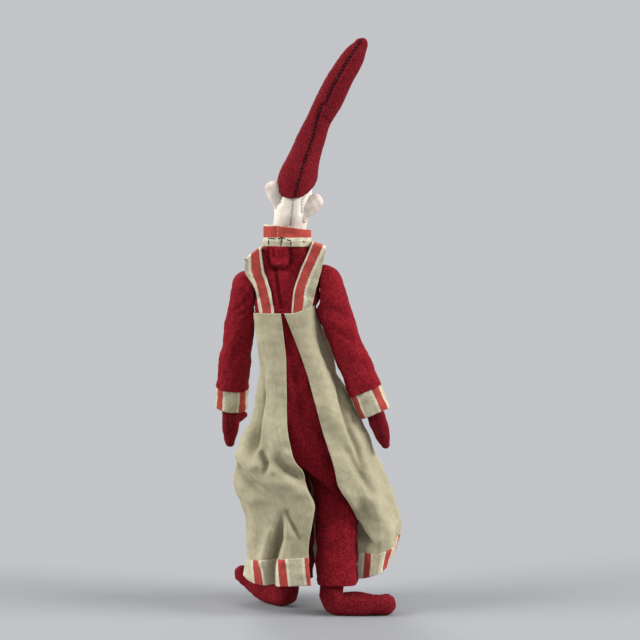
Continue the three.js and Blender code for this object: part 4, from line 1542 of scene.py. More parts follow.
@dataclass
class Collar:
    """The band of ticking round the neck, lapped behind and caught down with long stitches.

    Attributes:
        centre: X of its middle.
        foot: level of its lower edge.
        height: how tall it stands.
        tilt: how much higher its left side ends.
        half_width: half its width.
        half_depth: half its depth.
        cut: width and length of its cloth; not used.
    """

    centre: float = 13.0
    foot: float = 229.0
    height: float = 12.0
    tilt: float = 4.0
    half_width: float = 14.9
    half_depth: float = 12.9
    cut: Pair = (0.089, 0.0122)

    # Points round; the lapped end's step, place, width, cosines where it grows, and line; how far the top is
    # drawn in; the stripes' start and the factor on their lengths; the long stitches.
    SIDES = 200
    LAP = 0.9
    LAP_X = 18.5
    LAP_EDGE = (0.6, -0.6)
    LAP_TURN = (0.0, 0.3)
    LAP_LINE = ((18.5, 241.4), (18.2, 229.8))
    DRAWN_IN = 0.5
    STRIPE_START = -4.4
    STRETCH = 0.72
    CATCHES = (
        ((24.9, 234.3), (22.2, 234.1), (19.2, 233.6)),
        ((24.0, 234.0), (24.2, 229.2)),
        ((18.8, 233.8), (15.8, 234.6), (13.2, 233.4)),
        ((15.6, 235.0), (16.9, 229.2)),
        ((13.2, 233.5), (10.2, 232.6)),
        ((10.2, 232.8), (10.5, 229.2)),
        ((3.0, 232.6), (2.0, 231.4)),
    )

    def build(self) -> None:
        """Bends the band round the neck: sine across, cosine fore and aft, its top drawn in a little."""
        angle = ring_angles(self.SIDES)[None, :]
        share = np.linspace(0.0, 1.0, 26)[:, None]
        past = self.centre + self.half_width * np.sin(angle) - self.LAP_X
        lap = self.LAP * smooth(past, *self.LAP_EDGE)
        lean = -self.DRAWN_IN * share + lap * smooth(np.cos(angle), *self.LAP_TURN)
        x = self.centre + (self.half_width + lean) * np.sin(angle)
        y = (self.half_depth + lean) * np.cos(angle)
        z = self.foot + self.height * share + self.tilt * share * (x - self.centre) / (2.0 * self.half_width)
        grid = Grid(np.stack(np.broadcast_arrays(x, y, z), axis=-1), True, anchor=self.SIDES // 2)
        grid = grid.shaped([Ripple(8.0, 0.22, 71)])
        start = (self.STRIPE_START, 0.0)
        band = grid.mesh("collar_ticking", turned=True, start=start, stretch=self.STRETCH)
        self.band = thickened(band, TICKING_THICK)
        lines = [grid.under(line) for line in self.CATCHES]
        edge = Stitching(length=2.6, gap=0.4, radius=0.22, rise=0.2, slant=0.1, seed=73)
        catch = Stitching(length=5.6, gap=0.1, radius=0.32, rise=0.3, slant=0.2, seed=72)
        self.lap = edge.sewn("collar_lap_stitches", grid.under(self.LAP_LINE))
        self.catches = catch.sewn("collar_catch_stitches", *lines)

    def dress(self) -> None:
        dressed(self.band, Finish.TICKING, "body", ["collar_band"])
        dressed(self.catches, Finish.BLACK_THREAD, "body")
        dressed(self.lap, Finish.STRAW_THREAD, "body")


@dataclass
class Strap:
    """A strap of ticking from the pinafore's back over one shoulder to its front.

    Attributes:
        side: the shoulder.
        suit: what it lies on.
        behind: offsets from the spine of the inner and outer edge at the waist, the chest and the shoulder.
        ahead: the same in front.
        tops: the same on top of the shoulder.
        crest: levels of the inner and outer edge there.
        start: how far the first stripe lies from the inner edge, as a negative length.
        cut: width and length of its cloth; not used.
    """

    side: Side
    suit: Suit
    behind: Line
    ahead: Line
    tops: Pair
    crest: Pair
    start: float
    cut: Pair = (0.0115, 0.108)

    # Levels of the waist, the chest and the shoulder; of the strap's foot; and where its arch starts.
    LEVELS = (190.0, 203.0, 213.0)
    FOOT = 186.5
    ARCH = 213.0
    # Levels over which it gains its distance from the spine and its room; exponents of the arch's rise and
    # bow, and the share of it over which the two halves meet.
    STAND_LEVELS = (190.0, 200.0)
    CLEAR_LEVELS = (190.0, 196.0)
    RISE = 0.7
    BOW = 2.6
    MEET = 0.22

    # Radius of the sleeve's cap, room over it and the suit, least distance from the spine, share of that
    # room at the waist, factor on the stripes' lengths.
    CAP = 11.3
    CLEAR = 1.8
    STAND = 9.8
    WAIST_CLEAR = 0.7
    STRETCH = 0.86

    def rest(self, x: Array, z: Array) -> Array:
        """How far behind the spine the strap's outer face lies: over the suit and over the sleeve's cap.

        Args:
            x: places across.
            z: levels.

        Returns:
            The distances, with more room higher up.
        """
        over = x - SPINE_X - self.side.value * SHOULDER[0]
        cap = np.maximum(self.CAP**2 - over**2 - (z - SHOULDER[1]) ** 2, 0.0)
        side = self.STAND * smooth(z, *self.STAND_LEVELS)
        clear = self.CLEAR * (self.WAIST_CLEAR + (1.0 - self.WAIST_CLEAR) * smooth(z, *self.CLEAR_LEVELS))
        return np.maximum(np.maximum(self.suit.depth(x, z), np.sqrt(cap)), side) + clear

    def half(self, edges: Line, ease: float, rows: int, columns: int) -> Array:
        """Half the strap, from the waist to the top of the shoulder.

        Args:
            edges: offsets of the inner and outer edge at each of the levels.
            ease: how late it spreads to its place on top of the shoulder; 1 spreads as it rises.
            rows: rows up the chest; half as many go over the shoulder.
            columns: points across.

        Returns:
            Points (rows, columns, 3), with Y as the distance from the spine.
        """
        across = np.linspace(0.0, 1.0, columns)[None, :]
        inner, outer = (Profile(tuple(zip(self.LEVELS, column))) for column in zip(*edges))
        z = np.linspace(self.FOOT, self.ARCH, rows)[:, None]
        offset = inner(z) + (outer(z) - inner(z)) * across
        x = SPINE_X + self.side.value * offset
        z = np.broadcast_to(z, x.shape)
        chest = np.stack([x, self.rest(x, z), z], axis=-1)
        foot = chest[-1:]
        turn = np.linspace(0.0, 1.0, rows // 2 + 1)[1:, None]
        rise = np.sin(0.5 * math.pi * turn) ** self.RISE
        top_x = SPINE_X + self.side.value * (self.tops[0] + (self.tops[1] - self.tops[0]) * across)
        top_z = self.crest[0] + (self.crest[1] - self.crest[0]) * across + self.CLEAR
        x = foot[..., 0] + (top_x - foot[..., 0]) * rise**ease
        z = self.ARCH + (top_z - self.ARCH) * rise
        bow = foot[..., 1] * (1.0 - turn**self.BOW)
        y = np.maximum(bow, self.rest(x, z)) * smooth(1.0 - turn, 0.0, self.MEET)
        return np.concatenate([chest, np.stack([x, y, z], axis=-1)])

    def build(self) -> None:
        """Joins the half behind and the half in front."""
        behind = self.half(self.behind, ease=1.0, rows=60, columns=22)
        ahead = self.half(self.ahead, ease=2.5, rows=60, columns=22)
        points = np.concatenate([behind, ahead[-2::-1] * np.array([1.0, -1.0, 1.0])])
        grid = Grid(points).relaxed(6).shaped([Ripple(11.0, 0.25, 81), Ripple(4.0, 0.06, 82)])
        name = f"{self.side.word}_strap_ticking"
        self.band = thickened(grid.mesh(name, start=(self.start, 0.0), stretch=self.STRETCH), TICKING_THICK)

    def dress(self) -> None:
        dressed(self.band, Finish.TICKING, "body", [f"{self.side.word}_strap"])


@dataclass
class Arm:
    """A stuffed arm in a wool sleeve with a ticking cuff and a felt mitten.

    Attributes:
        side: which arm.
        out: degrees that it stands away from the body.
        forward: degrees that it reaches forward.
        bow: how far its middle bows out.
        hand_out: degrees that the hand turns out.
        thumb_root: share of the hand's line where the thumb leaves it.
        thumb: where the thumb's end lies from its root.
        wrinkles: folds of the sleeve.
        seams: stitched lines on the mitten.
        hand: how far the mitten reaches out of the cuff.
        underarm: how far the sleeve reaches in under the armhole; negative where the pinafore keeps it out.
        cap: half width and height of the sleeve's round top.
        stripe: where in the ticking's pattern the cuff's cloth starts.
        sleeve_cut: width and length of the sleeve's cloth; not used.
        cuff_cut: width and length of the cuff's cloth; not used.
    """

    side: Side
    out: float
    forward: float
    bow: float
    hand_out: float
    thumb_root: float
    thumb: Triple
    wrinkles: tuple[Relief, ...]
    seams: tuple[Line, ...]
    hand: float
    underarm: float
    cap: Pair = (10.5, 10.5)
    stripe: float = 12.2
    sleeve_cut: Pair = (0.064, 0.080)
    cuff_cut: Pair = (0.062, 0.0184)

    # Length to the wrist; the flat inner sides from the spine; depths below the shoulder where they change.
    LENGTH = 70.0
    FACE = 20.4
    ARM_FACE = 21.4
    UNDERARM = (9.5, 14.5)
    # How far the cuff reaches beyond the wrist and under the sleeve, and how flat the hand is.
    CUFF = 15.2
    TUCK = 3.2
    HAND_FLATTER = 0.78

    def reach(self, out: float, length: float) -> Array:
        """A step out to the arm's side, forward as the arm reaches, and down.

        Args:
            out: degrees away from the body.
            length: the step's length.

        Returns:
            The step's X, Y and Z.
        """
        lean, pitch = math.radians(out), math.radians(self.forward)
        fall = math.cos(lean) * length
        aside = self.side.value * math.sin(lean) * length
        return np.array([aside, -math.sin(pitch) * fall, -math.cos(pitch) * fall])

    def path(self) -> Path:
        """The arm's line.

        Returns:
            A bowed line from the shoulder to the wrist.
        """
        sign = self.side.value
        start = np.array([SPINE_X + sign * SHOULDER[0], 0.0, SHOULDER[1]])
        end = start + self.reach(self.out, self.LENGTH)
        middle = 0.5 * (start + end) + np.array([sign * 2.0 * self.bow, 0.0, 0.0])
        return Path.bezier(start, middle, end)

    def build(self) -> None:
        """Lofts the arm, sleeve and cuff along the arm's line and the mitten beyond them."""
        word, sign = self.side.word, self.side.value
        path = self.path()
        wrist = path.at(np.array([1.0]))[0]
        along = path.heading(np.array([1.0]))[0]
        knuckle = wrist + self.CUFF * along
        stuffing = Profile(((0.0, 9.0), (0.13, 5.7), (0.5, 5.5), (1.0, 5.2)))
        core = Section(stuffing, stuffing).limb(path, rows=40, sides=32, domes=(9.0, 2.0))
        self.arm = self._cut_flat(core, self.ARM_FACE).mesh(f"{word}_arm_calico")
        width = Profile(((0.0, self.cap[0]), (0.5, 9.8), (0.85, 10.6), (1.0, 11.0)))
        depth = Profile(((0.0, 10.5), (0.5, 9.3), (1.0, 9.4)))
        tube = Section(width, depth).limb(path, rows=110, sides=104, domes=(self.cap[1], 0.0))
        ripples: list[Relief] = [Ripple(14.0, 0.35, 91 + sign), Ripple(5.5, 0.1, 94 + sign)]
        tube = self._cut_flat(tube, self.FACE).shaped(ripples + list(self.wrinkles))
        tube = self._cut_flat(tube, self.FACE)
        self.sleeve = thickened(tube.mesh(f"{word}_sleeve_wool"), WOOL_THICK)
        line = Path.bezier(wrist - self.TUCK * along, knuckle)
        width = Profile(((0.0, 9.4), (0.2, 10.3), (0.5, 10.4), (1.0, 10.0)))
        depth = Profile(((0.0, 8.0), (0.22, 8.6), (1.0, 8.2)))
        cuff = Section(width, depth).limb(line, rows=26, sides=104).shaped([Ripple(9.0, 0.3, 97 + sign)])
        self.cuff = thickened(cuff.mesh(f"{word}_cuff_ticking", start=(self.stripe, 0.0)), TICKING_THICK)
        self._build_mitten(wrist, knuckle)

    def _build_mitten(self, wrist: Array, knuckle: Array) -> None:
        """Lofts the mitten and its thumb and sews the mitten's seams.

        Args:
            wrist: where the hand's line starts, inside the cuff.
            knuckle: the point that the line bends towards, at the cuff's edge.
        """
        word = self.side.word
        line = Path.bezier(wrist, knuckle, knuckle + self.reach(self.hand_out, self.hand))
        width = Profile(((0.0, 4.8), (0.5, 5.6), (0.72, 5.2), (0.9, 4.0), (1.0, 2.9)))
        section = Section(width, width.times(self.HAND_FLATTER), square=2.3)
        hand = section.limb(line, rows=64, sides=56, domes=(2.0, 2.6))
        creases = [Crease.along(seam, -0.5, 0.9) for seam in self.seams]
        hand = hand.shaped([Ripple(9.0, 0.2, 99 + self.side.value), *creases])
        self.mitten = hand.mesh(f"{word}_mitten_felt")
        root = line.at(np.array([self.thumb_root]))[0]
        size = Profile(((0.0, 2.4), (0.6, 2.8), (1.0, 2.2)))
        thumb_line = Path.bezier(root, root + np.array(self.thumb))
        thumb = Section(size, size).limb(thumb_line, rows=16, sides=28, domes=(1.0, 2.0))
        self.thumb_piece = thumb.mesh(f"{word}_thumb_felt")
        sewing = Stitching(length=1.5, gap=0.5, radius=0.24, rise=0.2, slant=0.15, seed=96)
        lines = [hand.under(seam) for seam in self.seams]
        self.thread = sewing.sewn(f"{word}_mitten_stitches", *lines)

    def _cut_flat(self, grid: Grid, face: float) -> Grid:
        """The grid pressed flat where it would reach inside the bodice's side, which differs under the arm.

        Args:
            grid: a limb of this arm.
            face: distance of the flat side from the spine.

        Returns:
            The same grid with those points on the flat side.
        """
        sign = self.side.value
        points = grid.points.copy()
        below = SHOULDER[1] - points[..., 2]
        flat = face - self.underarm * smooth(below, *self.UNDERARM)
        points[..., 0] = SPINE_X + sign * np.maximum(sign * (points[..., 0] - SPINE_X), flat)
        return replace(grid, points=points)

    def dress(self) -> None:
        word = self.side.word
        body = f"{word}_arm"
        dressed(self.arm, Finish.CALICO, body, [f"{word}_arm"])
        dressed(self.sleeve, Finish.WOOL, body, [f"{word}_sleeve"])
        dressed(self.cuff, Finish.TICKING, body, [f"{word}_cuff"])
        dressed(self.mitten, Finish.FELT, body, [f"{word}_mitten"])
        dressed(self.thumb_piece, Finish.FELT, body)
        dressed(self.thread, Finish.BLACK_THREAD, body)


@dataclass
class Leg:
    """A stuffed felt leg with its foot, in a wool trouser leg.

    Attributes:
        side: which leg.
        ankle: X and Y of the ankle.
        heading: degrees from +X that the foot points.
        toe_lift: how high the toes are raised.
        toe: half the height of the toes.
        foot: length from the instep to the round toe.
        trouser_x: X of the trouser leg's middle by level.
        trouser_y: Y of the trouser leg's middle by level.
        width: half the trouser leg's width by share of the way down.
        depth: half its depth by share of the way down.
        cut: width and length of the trouser leg's cloth; not used.
    """

    side: Side
    ankle: Pair
    heading: float
    toe_lift: float
    toe: float
    foot: float
    trouser_x: Profile
    trouser_y: Profile
    width: Profile
    depth: Profile
    cut: Pair = (0.078, 0.082)

    # X and Z of the hip; the instep's pivot, the gap under it and its distance before the ankle.
    HIP = (10.0, 86.1)
    PIVOT_Z = 13.6
    PIVOT_GAP = 0.3
    REACH = 7.65

    # Half sizes down the leg and foot, and the sole's distance from the pivot by degrees from the heel.
    TOE = 6.0
    TOE_WIDER = 1.1
    THIGH = 8.4
    THIGH_DOME = 9.0
    SHIN = 7.35
    INSTEP = 6.6
    BALL = 6.95
    HEEL = Profile(((0.0, 15.0), (25.0, 15.7), (45.0, 16.1), (60.0, 15.0), (75.0, 13.9), (90.0, 13.5)))

    # Exponents of the foot's taper, its lift and the toe's end; how much narrower the heel and squarer the
    # foot are than the leg, and the turn over which the foot gets so.
    TAPER = 1.5
    LIFT = 2.2
    BLUNT = 0.8
    HEEL_NARROWER = 0.4
    SQUARER = 0.7
    SQUARER_TURN = (0.2, 1.5)

    # Points round; least level of the sole before and after its unevenness; the trouser leg's ends.
    SIDES = 72
    SOLE = 0.15
    LOWEST = 0.05
    TROUSER_TOP = 97.0
    TROUSER_HEM = 19.6

    def sock(self) -> Grid:
        """The leg and foot as one skin of sections.

        Level sections come down the shin. Then sections fan out about a pivot at the instep, each from the
        pivot to the heel's or the sole's distance. Upright sections run on to the round toe.

        Returns:
            The grid, closed at the hip and at the toe.
        """
        turned = math.radians(self.heading)
        ahead = np.array([math.cos(turned), math.sin(turned), 0.0])
        lateral = np.cross(UP, ahead)
        angle = ring_angles(self.SIDES)[None, :]
        hip = np.array([self.side.value * self.HIP[0], 0.0, self.HIP[1]])
        ankle = np.array([*self.ankle, self.PIVOT_Z])
        pivot = ankle + self.REACH * ahead
        dome = np.linspace(0.45 * math.pi, 0.05, 8)
        share = np.linspace(0.0, 1.0, 70)
        fan = np.linspace(0.0, 0.5 * math.pi, 34)[1:]
        run = np.linspace(0.0, 1.0, 40)[1:]
        toe = np.linspace(0.0, 0.47 * math.pi, 10)[1:]
        level, turning, upright = len(dome) + len(share), len(fan), len(run) + len(toe)
        down = np.concatenate([np.zeros(level), fan, np.full(upright, 0.5 * math.pi)])
        outward = -ahead * np.cos(down)[:, None] - UP * np.sin(down)[:, None]
        fanned = outward[level : level + turning]
        drift = np.column_stack([1.0 - (1.0 - share) ** 3, share, share])
        thigh = self.THIGH * np.cos(dome)
        shin = Profile(((0.0, self.THIGH), (0.35, 8.0), (0.8, 7.4), (1.0, self.SHIN)))(share)
        heel = self.HEEL(np.degrees(fan))
        taper = run**self.TAPER
        toe_width = self.TOE_WIDER * self.toe
        height = self.INSTEP - (self.INSTEP - self.toe) * taper
        half = np.concatenate(
            [thigh, shin, 0.5 * (heel - self.PIVOT_GAP), height, self.toe * np.cos(toe)]
        )
        width = np.concatenate([
            thigh,
            shin,
            self.SHIN - self.HEEL_NARROWER * np.sin(fan),
            self.BALL - (self.BALL - toe_width) * taper,
            toe_width * np.cos(toe) ** self.BLUNT,
        ])
        centre = np.concatenate([
            hip + self.THIGH_DOME * np.sin(dome)[:, None] * UP,
            hip + (ankle - hip) * drift,
            pivot + fanned * (0.5 * (heel + self.PIVOT_GAP))[:, None],
            pivot + ahead * (self.foot * run)[:, None] - UP * (self.PIVOT_Z - height)[:, None],
            pivot + ahead * (self.foot + self.TOE * np.sin(toe))[:, None] - UP * (self.PIVOT_Z - self.toe),
        ])
        raised = np.concatenate([np.zeros(level + turning), run**self.LIFT, np.ones(len(toe))])
        centre = centre + (raised * self.toe_lift)[:, None] * UP
        square = 2.0 + self.SQUARER * smooth(down, *self.SQUARER_TURN)[:, None]
        deep = half[:, None] * rounded(np.cos(angle), square)
        wide = width[:, None] * rounded(np.sin(angle), square)
        points = centre[:, None, :] + deep[..., None] * outward[:, None, :] + wide[..., None] * lateral
        points[..., 2] = np.maximum(points[..., 2], self.SOLE)
        return Grid(points, True, (True, True), anchor=self.SIDES // 2)

    def build(self) -> None:
        """Makes the sock and the trouser leg over it."""
        word = self.side.word
        sock = self.sock().shaped([Ripple(13.0, 0.3, 103 + self.side.value), Ripple(5.0, 0.08, 106)])
        sock.points[..., 2] = np.maximum(sock.points[..., 2], self.LOWEST)
        self.leg = sock.mesh(f"{word}_leg_felt")
        level = np.linspace(self.TROUSER_TOP, self.TROUSER_HEM, 90)
        line = Path(np.column_stack([self.trouser_x(level), self.trouser_y(level), level]))
        section = Section(self.width, self.depth, square=3.2, upright=True)
        tube = section.limb(line, rows=110, sides=104, domes=(7.0, 0.0))
        tube = tube.shaped([Ripple(15.0, 0.4, 109), Ripple(6.0, 0.1, 110)])
        self.trouser = thickened(tube.mesh(f"{word}_trouser_leg_wool"), WOOL_THICK)

    def dress(self) -> None:
        word = self.side.word
        body = f"{word}_leg"
        dressed(self.leg, Finish.FELT, body, [f"{word}_leg"])
        dressed(self.trouser, Finish.WOOL, body, [f"{word}_trouser_leg"])


@dataclass
class Pinafore:
    """The canvas pinafore skirt, open behind, with a hem band of ticking.

    Its profiles from centre to apron go by the share of the way down.

    Attributes:
        waist: level of its top.
        band_share: share of the way down where the hem band starts.
        centre: X of its middle.
        half_width: half its width.
        depth_behind: how far it reaches back.
        depth_ahead: how far it reaches forward.
        left_edge: X of the left free edge.
        right_edge: X of the right free edge.
        apron: how far the right of the front stands out.
        seam: level of the hem band's seam by the sine of the angle.
        lower: level of the lower edge by the sine of the angle.
        cut: width and length of the skirt's cloth; not used.
        band_cut: width and length of the band's cloth; not used.
    """

    waist: float = 190.0
    band_share: float = 0.8876
    centre: Profile = Profile((
        (0.0, 14.6), (0.1, 13.0), (0.167, 10.7), (0.256, 8.1), (0.323, 5.6), (0.39, 4.2), (0.478, 3.1),
        (0.545, 3.0), (0.612, 1.0), (0.68, -3.6), (0.745, -7.0), (0.84, -9.8), (0.92, -8.0), (1.0, -6.5),
    ))
    half_width: Profile = Profile((
        (0.0, 17.8), (0.1, 18.0), (0.167, 20.0), (0.256, 23.2), (0.323, 27.6), (0.39, 32.2), (0.478, 38.6),
        (0.545, 42.3), (0.612, 45.2), (0.68, 46.2), (0.745, 46.2), (0.84, 46.8), (0.92, 46.4), (1.0, 45.0),
    ))
    depth_behind: Profile = Profile((
        (0.0, 12.8), (0.21, 16.7), (0.39, 21.2), (0.57, 25.1), (0.72, 26.2), (1.0, 25.7),
    ))
    depth_ahead: Profile = Profile((
        (0.0, 12.8), (0.21, 16.7), (0.39, 22.3), (0.57, 27.9), (0.72, 31.3), (1.0, 33.5),
    ))
    left_edge: Profile = Profile((
        (0.0, 16.6), (0.04, 15.6), (0.1, 14.5), (0.167, 13.3), (0.213, 13.2), (0.39, 12.7), (0.456, 11.4),
        (0.503, 9.6), (0.525, 8.6), (0.548, 6.8), (0.57, 3.8), (0.593, 2.4), (0.637, 0.0), (0.66, -1.9),
        (0.682, -3.7), (0.704, -4.4), (0.727, -3.8), (0.772, -2.5), (0.839, -0.6), (0.88, -0.5), (1.0, -2.2),
    ))
    right_edge: Profile = Profile((
        (0.0, 14.6), (0.04, 12.0), (0.1, 8.1), (0.167, 3.7), (0.234, -0.1), (0.3, -3.2), (0.367, -6.3),
        (0.434, -9.6), (0.5, -13.2), (0.567, -16.4), (0.634, -19.2), (0.7, -26.2), (0.78, -30.8),
        (1.0, -30.4),
    ))
    apron: Profile = Profile((
        (0.0, 0.8), (0.06, 3.6), (0.1, 4.9), (0.14, 5.4), (0.2, 4.9),
        (0.28, 3.8), (0.35, 3.2), (0.44, 2.0), (0.54, 0.0), (1.0, 0.0),
    ))
    seam: Profile = Profile((
        (-1.0, 47.6), (-0.95, 43.6), (-0.9, 41.2), (-0.5, 38.6),
        (0.0, 38.6), (0.5, 36.9), (0.8, 35.0), (1.0, 33.6),
    ))
    lower: Profile = Profile((
        (-1.0, 35.4), (-0.93, 29.6), (-0.71, 25.8), (-0.5, 21.8),
        (0.0, 21.4), (0.5, 20.0), (0.8, 20.4), (1.0, 24.4),
    ))
    cut: Pair = (0.250, 0.175)
    band_cut: Pair = (0.240, 0.022)

    # How far the right edge is tucked in low down; where the hem's stripes start and end.
    TUCK = 12.5
    STRIPE_START = 2.2
    STRIPE_END = 8.8

    # Folds round the front, how far they drift on the way down and their height; how far the top stands out,
    # its drop and its rise to the right.
    FOLDS_AHEAD = 9.0
    FOLDS_DRIFT = 1.2
    FOLD_HEIGHT = 2.0
    LIP = 1.4
    TOP_SLOPE = (2.0, 4.5)

    # Ranges by share of the way down, and of the tuck's end by degrees from the right edge.
    ROUNDER = (0.0, 0.3)
    FOLDS_GROW = (0.15, 0.8)
    LIP_ENDS = (0.02, 0.2)
    TUCK_GROWS = (0.62, 0.8)
    TUCK_ENDS = (1.0, 24.0)

    # Ranges by the angle's cosine (depth, folds, the apron's front) and by its sine (what lies to the right).
    DEPTH_TURN = (-0.25, 0.25)
    FOLDS_FADE = (-0.1, 0.5)
    APRON_RIGHT = (0.45, 0.9)
    APRON_FRONT = (-0.15, 0.35)
    TOP_RIGHT = (0.05, 0.9)

    # How far the skirt runs under the band, by share, and how far the band lies outside it.
    BAND_LAP = 0.02
    BAND_OUT = 0.9

    # The sewn line: distance from the top, on that length of skirt, and its points. The cloth's area in m2.
    HEM_FOLD = 8.7
    SEWN_LENGTH = 152.0
    SEWN_STEPS = 400
    AREA = 0.0325

    def surface(self, first: float, last: float, rows: int, columns: int, out: float) -> Grid:
        """Part of the pinafore's cloth by share down and angle round.

        The section is a rounded sine and cosine whose half width and half depth grow on the way down. The
        front has even folds, by the cosine of nine times the angle.

        Args:
            first: share of the way down where it starts.
            last: share where it ends.
            rows: points down.
            columns: points round, from the left free edge past the front to the right one.
            out: how far outside the skirt's own face.

        Returns:
            An open grid.
        """
        share = np.linspace(first, last, rows)[:, None]
        across = np.linspace(0.0, 1.0, columns)[None, :]
        square = 3.0 - 0.4 * smooth(share, *self.ROUNDER)
        middle, wide = self.centre(share), self.half_width(share)

        def turn(x: Array) -> Array:
            """The angle at which the section behind has that X."""
            off = np.clip((x - middle) / wide, -1.0, 1.0)
            return np.arcsin(np.sign(off) * np.abs(off) ** (0.5 * square))

        left, right = turn(self.left_edge(share)), FULL_TURN + turn(self.right_edge(share))
        angle = left + (right - left) * across
        wave, along = np.sin(angle), np.cos(angle)
        ahead, behind = self.depth_ahead(share), self.depth_behind(share)
        deep = ahead + (behind - ahead) * smooth(along, *self.DEPTH_TURN)
        fold = self.FOLD_HEIGHT * smooth(share, *self.FOLDS_GROW)
        fold = fold * np.cos(self.FOLDS_AHEAD * angle + self.FOLDS_DRIFT * share)
        fold = fold * (1.0 - smooth(along, *self.FOLDS_FADE))
        lip = self.LIP * (1.0 - smooth(share, *self.LIP_ENDS))
        x = rounded(wave, square) * (wide + fold + out + lip)
        y = rounded(along, square) * (deep + fold + out + lip)
        free = 1.0 - smooth(np.degrees(right - angle), *self.TUCK_ENDS)
        y = y - self.TUCK * smooth(share, *self.TUCK_GROWS) * free
        x = x - self.apron(share) * smooth(-wave, *self.APRON_RIGHT) * smooth(-along, *self.APRON_FRONT)
        low, rise = self.TOP_SLOPE
        top = self.waist - low + rise * smooth(-wave, *self.TOP_RIGHT)
        seam, lower = self.seam(wave), self.lower(wave)
        down = np.minimum(share / self.band_share, 1.0)
        below = np.maximum(share - self.band_share, 0.0) / (1.0 - self.band_share)
        z = top + (seam - top) * down + (lower - seam) * below
        return Grid(np.stack(np.broadcast_arrays(middle + x, y, z), axis=-1))

    @staticmethod
    def folds() -> list[Relief]:
        """The hanging folds of the back.

        Returns:
            Slight unevenness, the folds of the left panel from top to hem, and those of the right one.
        """
        left_valley = (
            (29.2, 158.0, -0.3), (28.6, 152.0, -1.6), (27.8, 139.0, -2.6),
            (29.8, 126.0, -3.0), (31.4, 110.0, -2.8), (32.0, 103.0, -1.2),
        )
        left_hollow = (
            (30.6, 154.0, -0.4), (29.6, 138.0, -2.0), (31.6, 124.0, -3.2),
            (33.4, 109.0, -3.4), (33.4, 101.0, -1.0),
        )
        left_sag = (
            (46.0, 93.0, -3.0), (40.0, 87.5, -5.0), (34.0, 83.0, -4.4),
            (27.0, 79.0, -2.0), (20.0, 76.0, -0.8),
        )
        left_pleat = (
            (16.0, 67.0, -0.8), (17.0, 57.0, -4.4), (18.2, 49.5, -6.6),
            (21.0, 40.0, -7.0), (22.8, 33.0, -7.0), (23.2, 16.0, -6.0),
        )
        right_valley = (
            (-13.6, 168.0, -0.8), (-18.2, 149.0, -2.2), (-22.0, 132.0, -3.4),
            (-26.0, 116.0, -4.0), (-31.0, 103.0, -3.4), (-35.0, 93.0, -1.6),
        )
        right_hollow = (
            (-21.0, 108.0, -0.6), (-26.0, 101.0, -1.6), (-30.5, 94.0, -3.4),
            (-35.0, 86.0, -3.0), (-39.0, 78.0, -1.4),
        )
        right_flap = (
            (-15.0, 94.0, 0.0), (-17.6, 82.8, 3.0), (-26.3, 67.7, 7.0),
            (-35.7, 52.7, 8.0), (-46.0, 41.0, 2.0),
        )
        return [
            Ripple(24.0, 0.5, 121),
            Ripple(9.0, 0.12, 122),
            Crease(left_valley, 1.3),
            Crease(left_hollow, 2.3),
            Crease(((37.0, 114.0, 1.4), (39.5, 100.0, 2.4)), 3.6),
            Crease(((22.0, 170.0, 0.5), (20.5, 130.0, 1.3), (19.5, 106.0, 1.6)), 4.6),
            Crease(((28.0, 102.0, -2.6), (25.6, 96.5, -4.0), (27.0, 91.0, -1.4)), 2.0),
            Crease(((31.6, 103.0, 1.4), (30.6, 95.0, 1.6)), 2.2),
            Crease(((22.6, 100.0, 1.2), (21.6, 92.0, 1.6)), 2.2),
            Crease(((18.0, 98.0, -1.6), (12.0, 92.5, -5.4), (6.0, 88.5, -6.0), (2.0, 86.0, -4.0)), 3.0),
            Crease(((13.0, 102.0, 1.6), (5.0, 97.0, 1.4)), 3.2),
            Crease(((12.0, 84.0, 1.4), (5.0, 79.0, 1.4)), 3.6),
            Crease(left_sag, 2.3),
            Crease(((42.0, 97.5, 2.8), (35.0, 94.0, 2.2)), 3.8),
            Crease(((40.0, 78.0, 1.8), (34.0, 73.0, 1.8)), 4.6),
            Crease(left_pleat, 2.5),
            Crease(((12.5, 56.0, 1.2), (14.6, 36.0, 2.0)), 2.6),
            Crease(((23.0, 54.0, 1.6), (28.6, 34.0, 2.6)), 3.0),
            Crease(((12.6, 66.0, -2.2), (9.0, 58.0, -3.0), (5.0, 50.5, -1.4)), 1.7),
            Crease(((33.0, 62.0, 1.4), (35.0, 44.0, 2.0), (35.4, 16.0, 2.2)), 4.2),
            Crease(right_valley, 2.1),
            Crease(((-9.0, 150.0, 1.0), (-15.0, 122.0, 1.6)), 3.8),
            Crease(right_hollow, 2.6),
            Overhang(right_flap, width=1.6, reach=30.0, fade=(38.0, 52.0)),
            Crease(((-24.0, 78.0, 1.4), (-33.0, 62.0, 1.8), (-43.0, 48.0, 1.6)), 3.0),
            Crease(((-42.0, 72.0, 1.2), (-50.0, 54.0, 1.6)), 4.0),
        ]

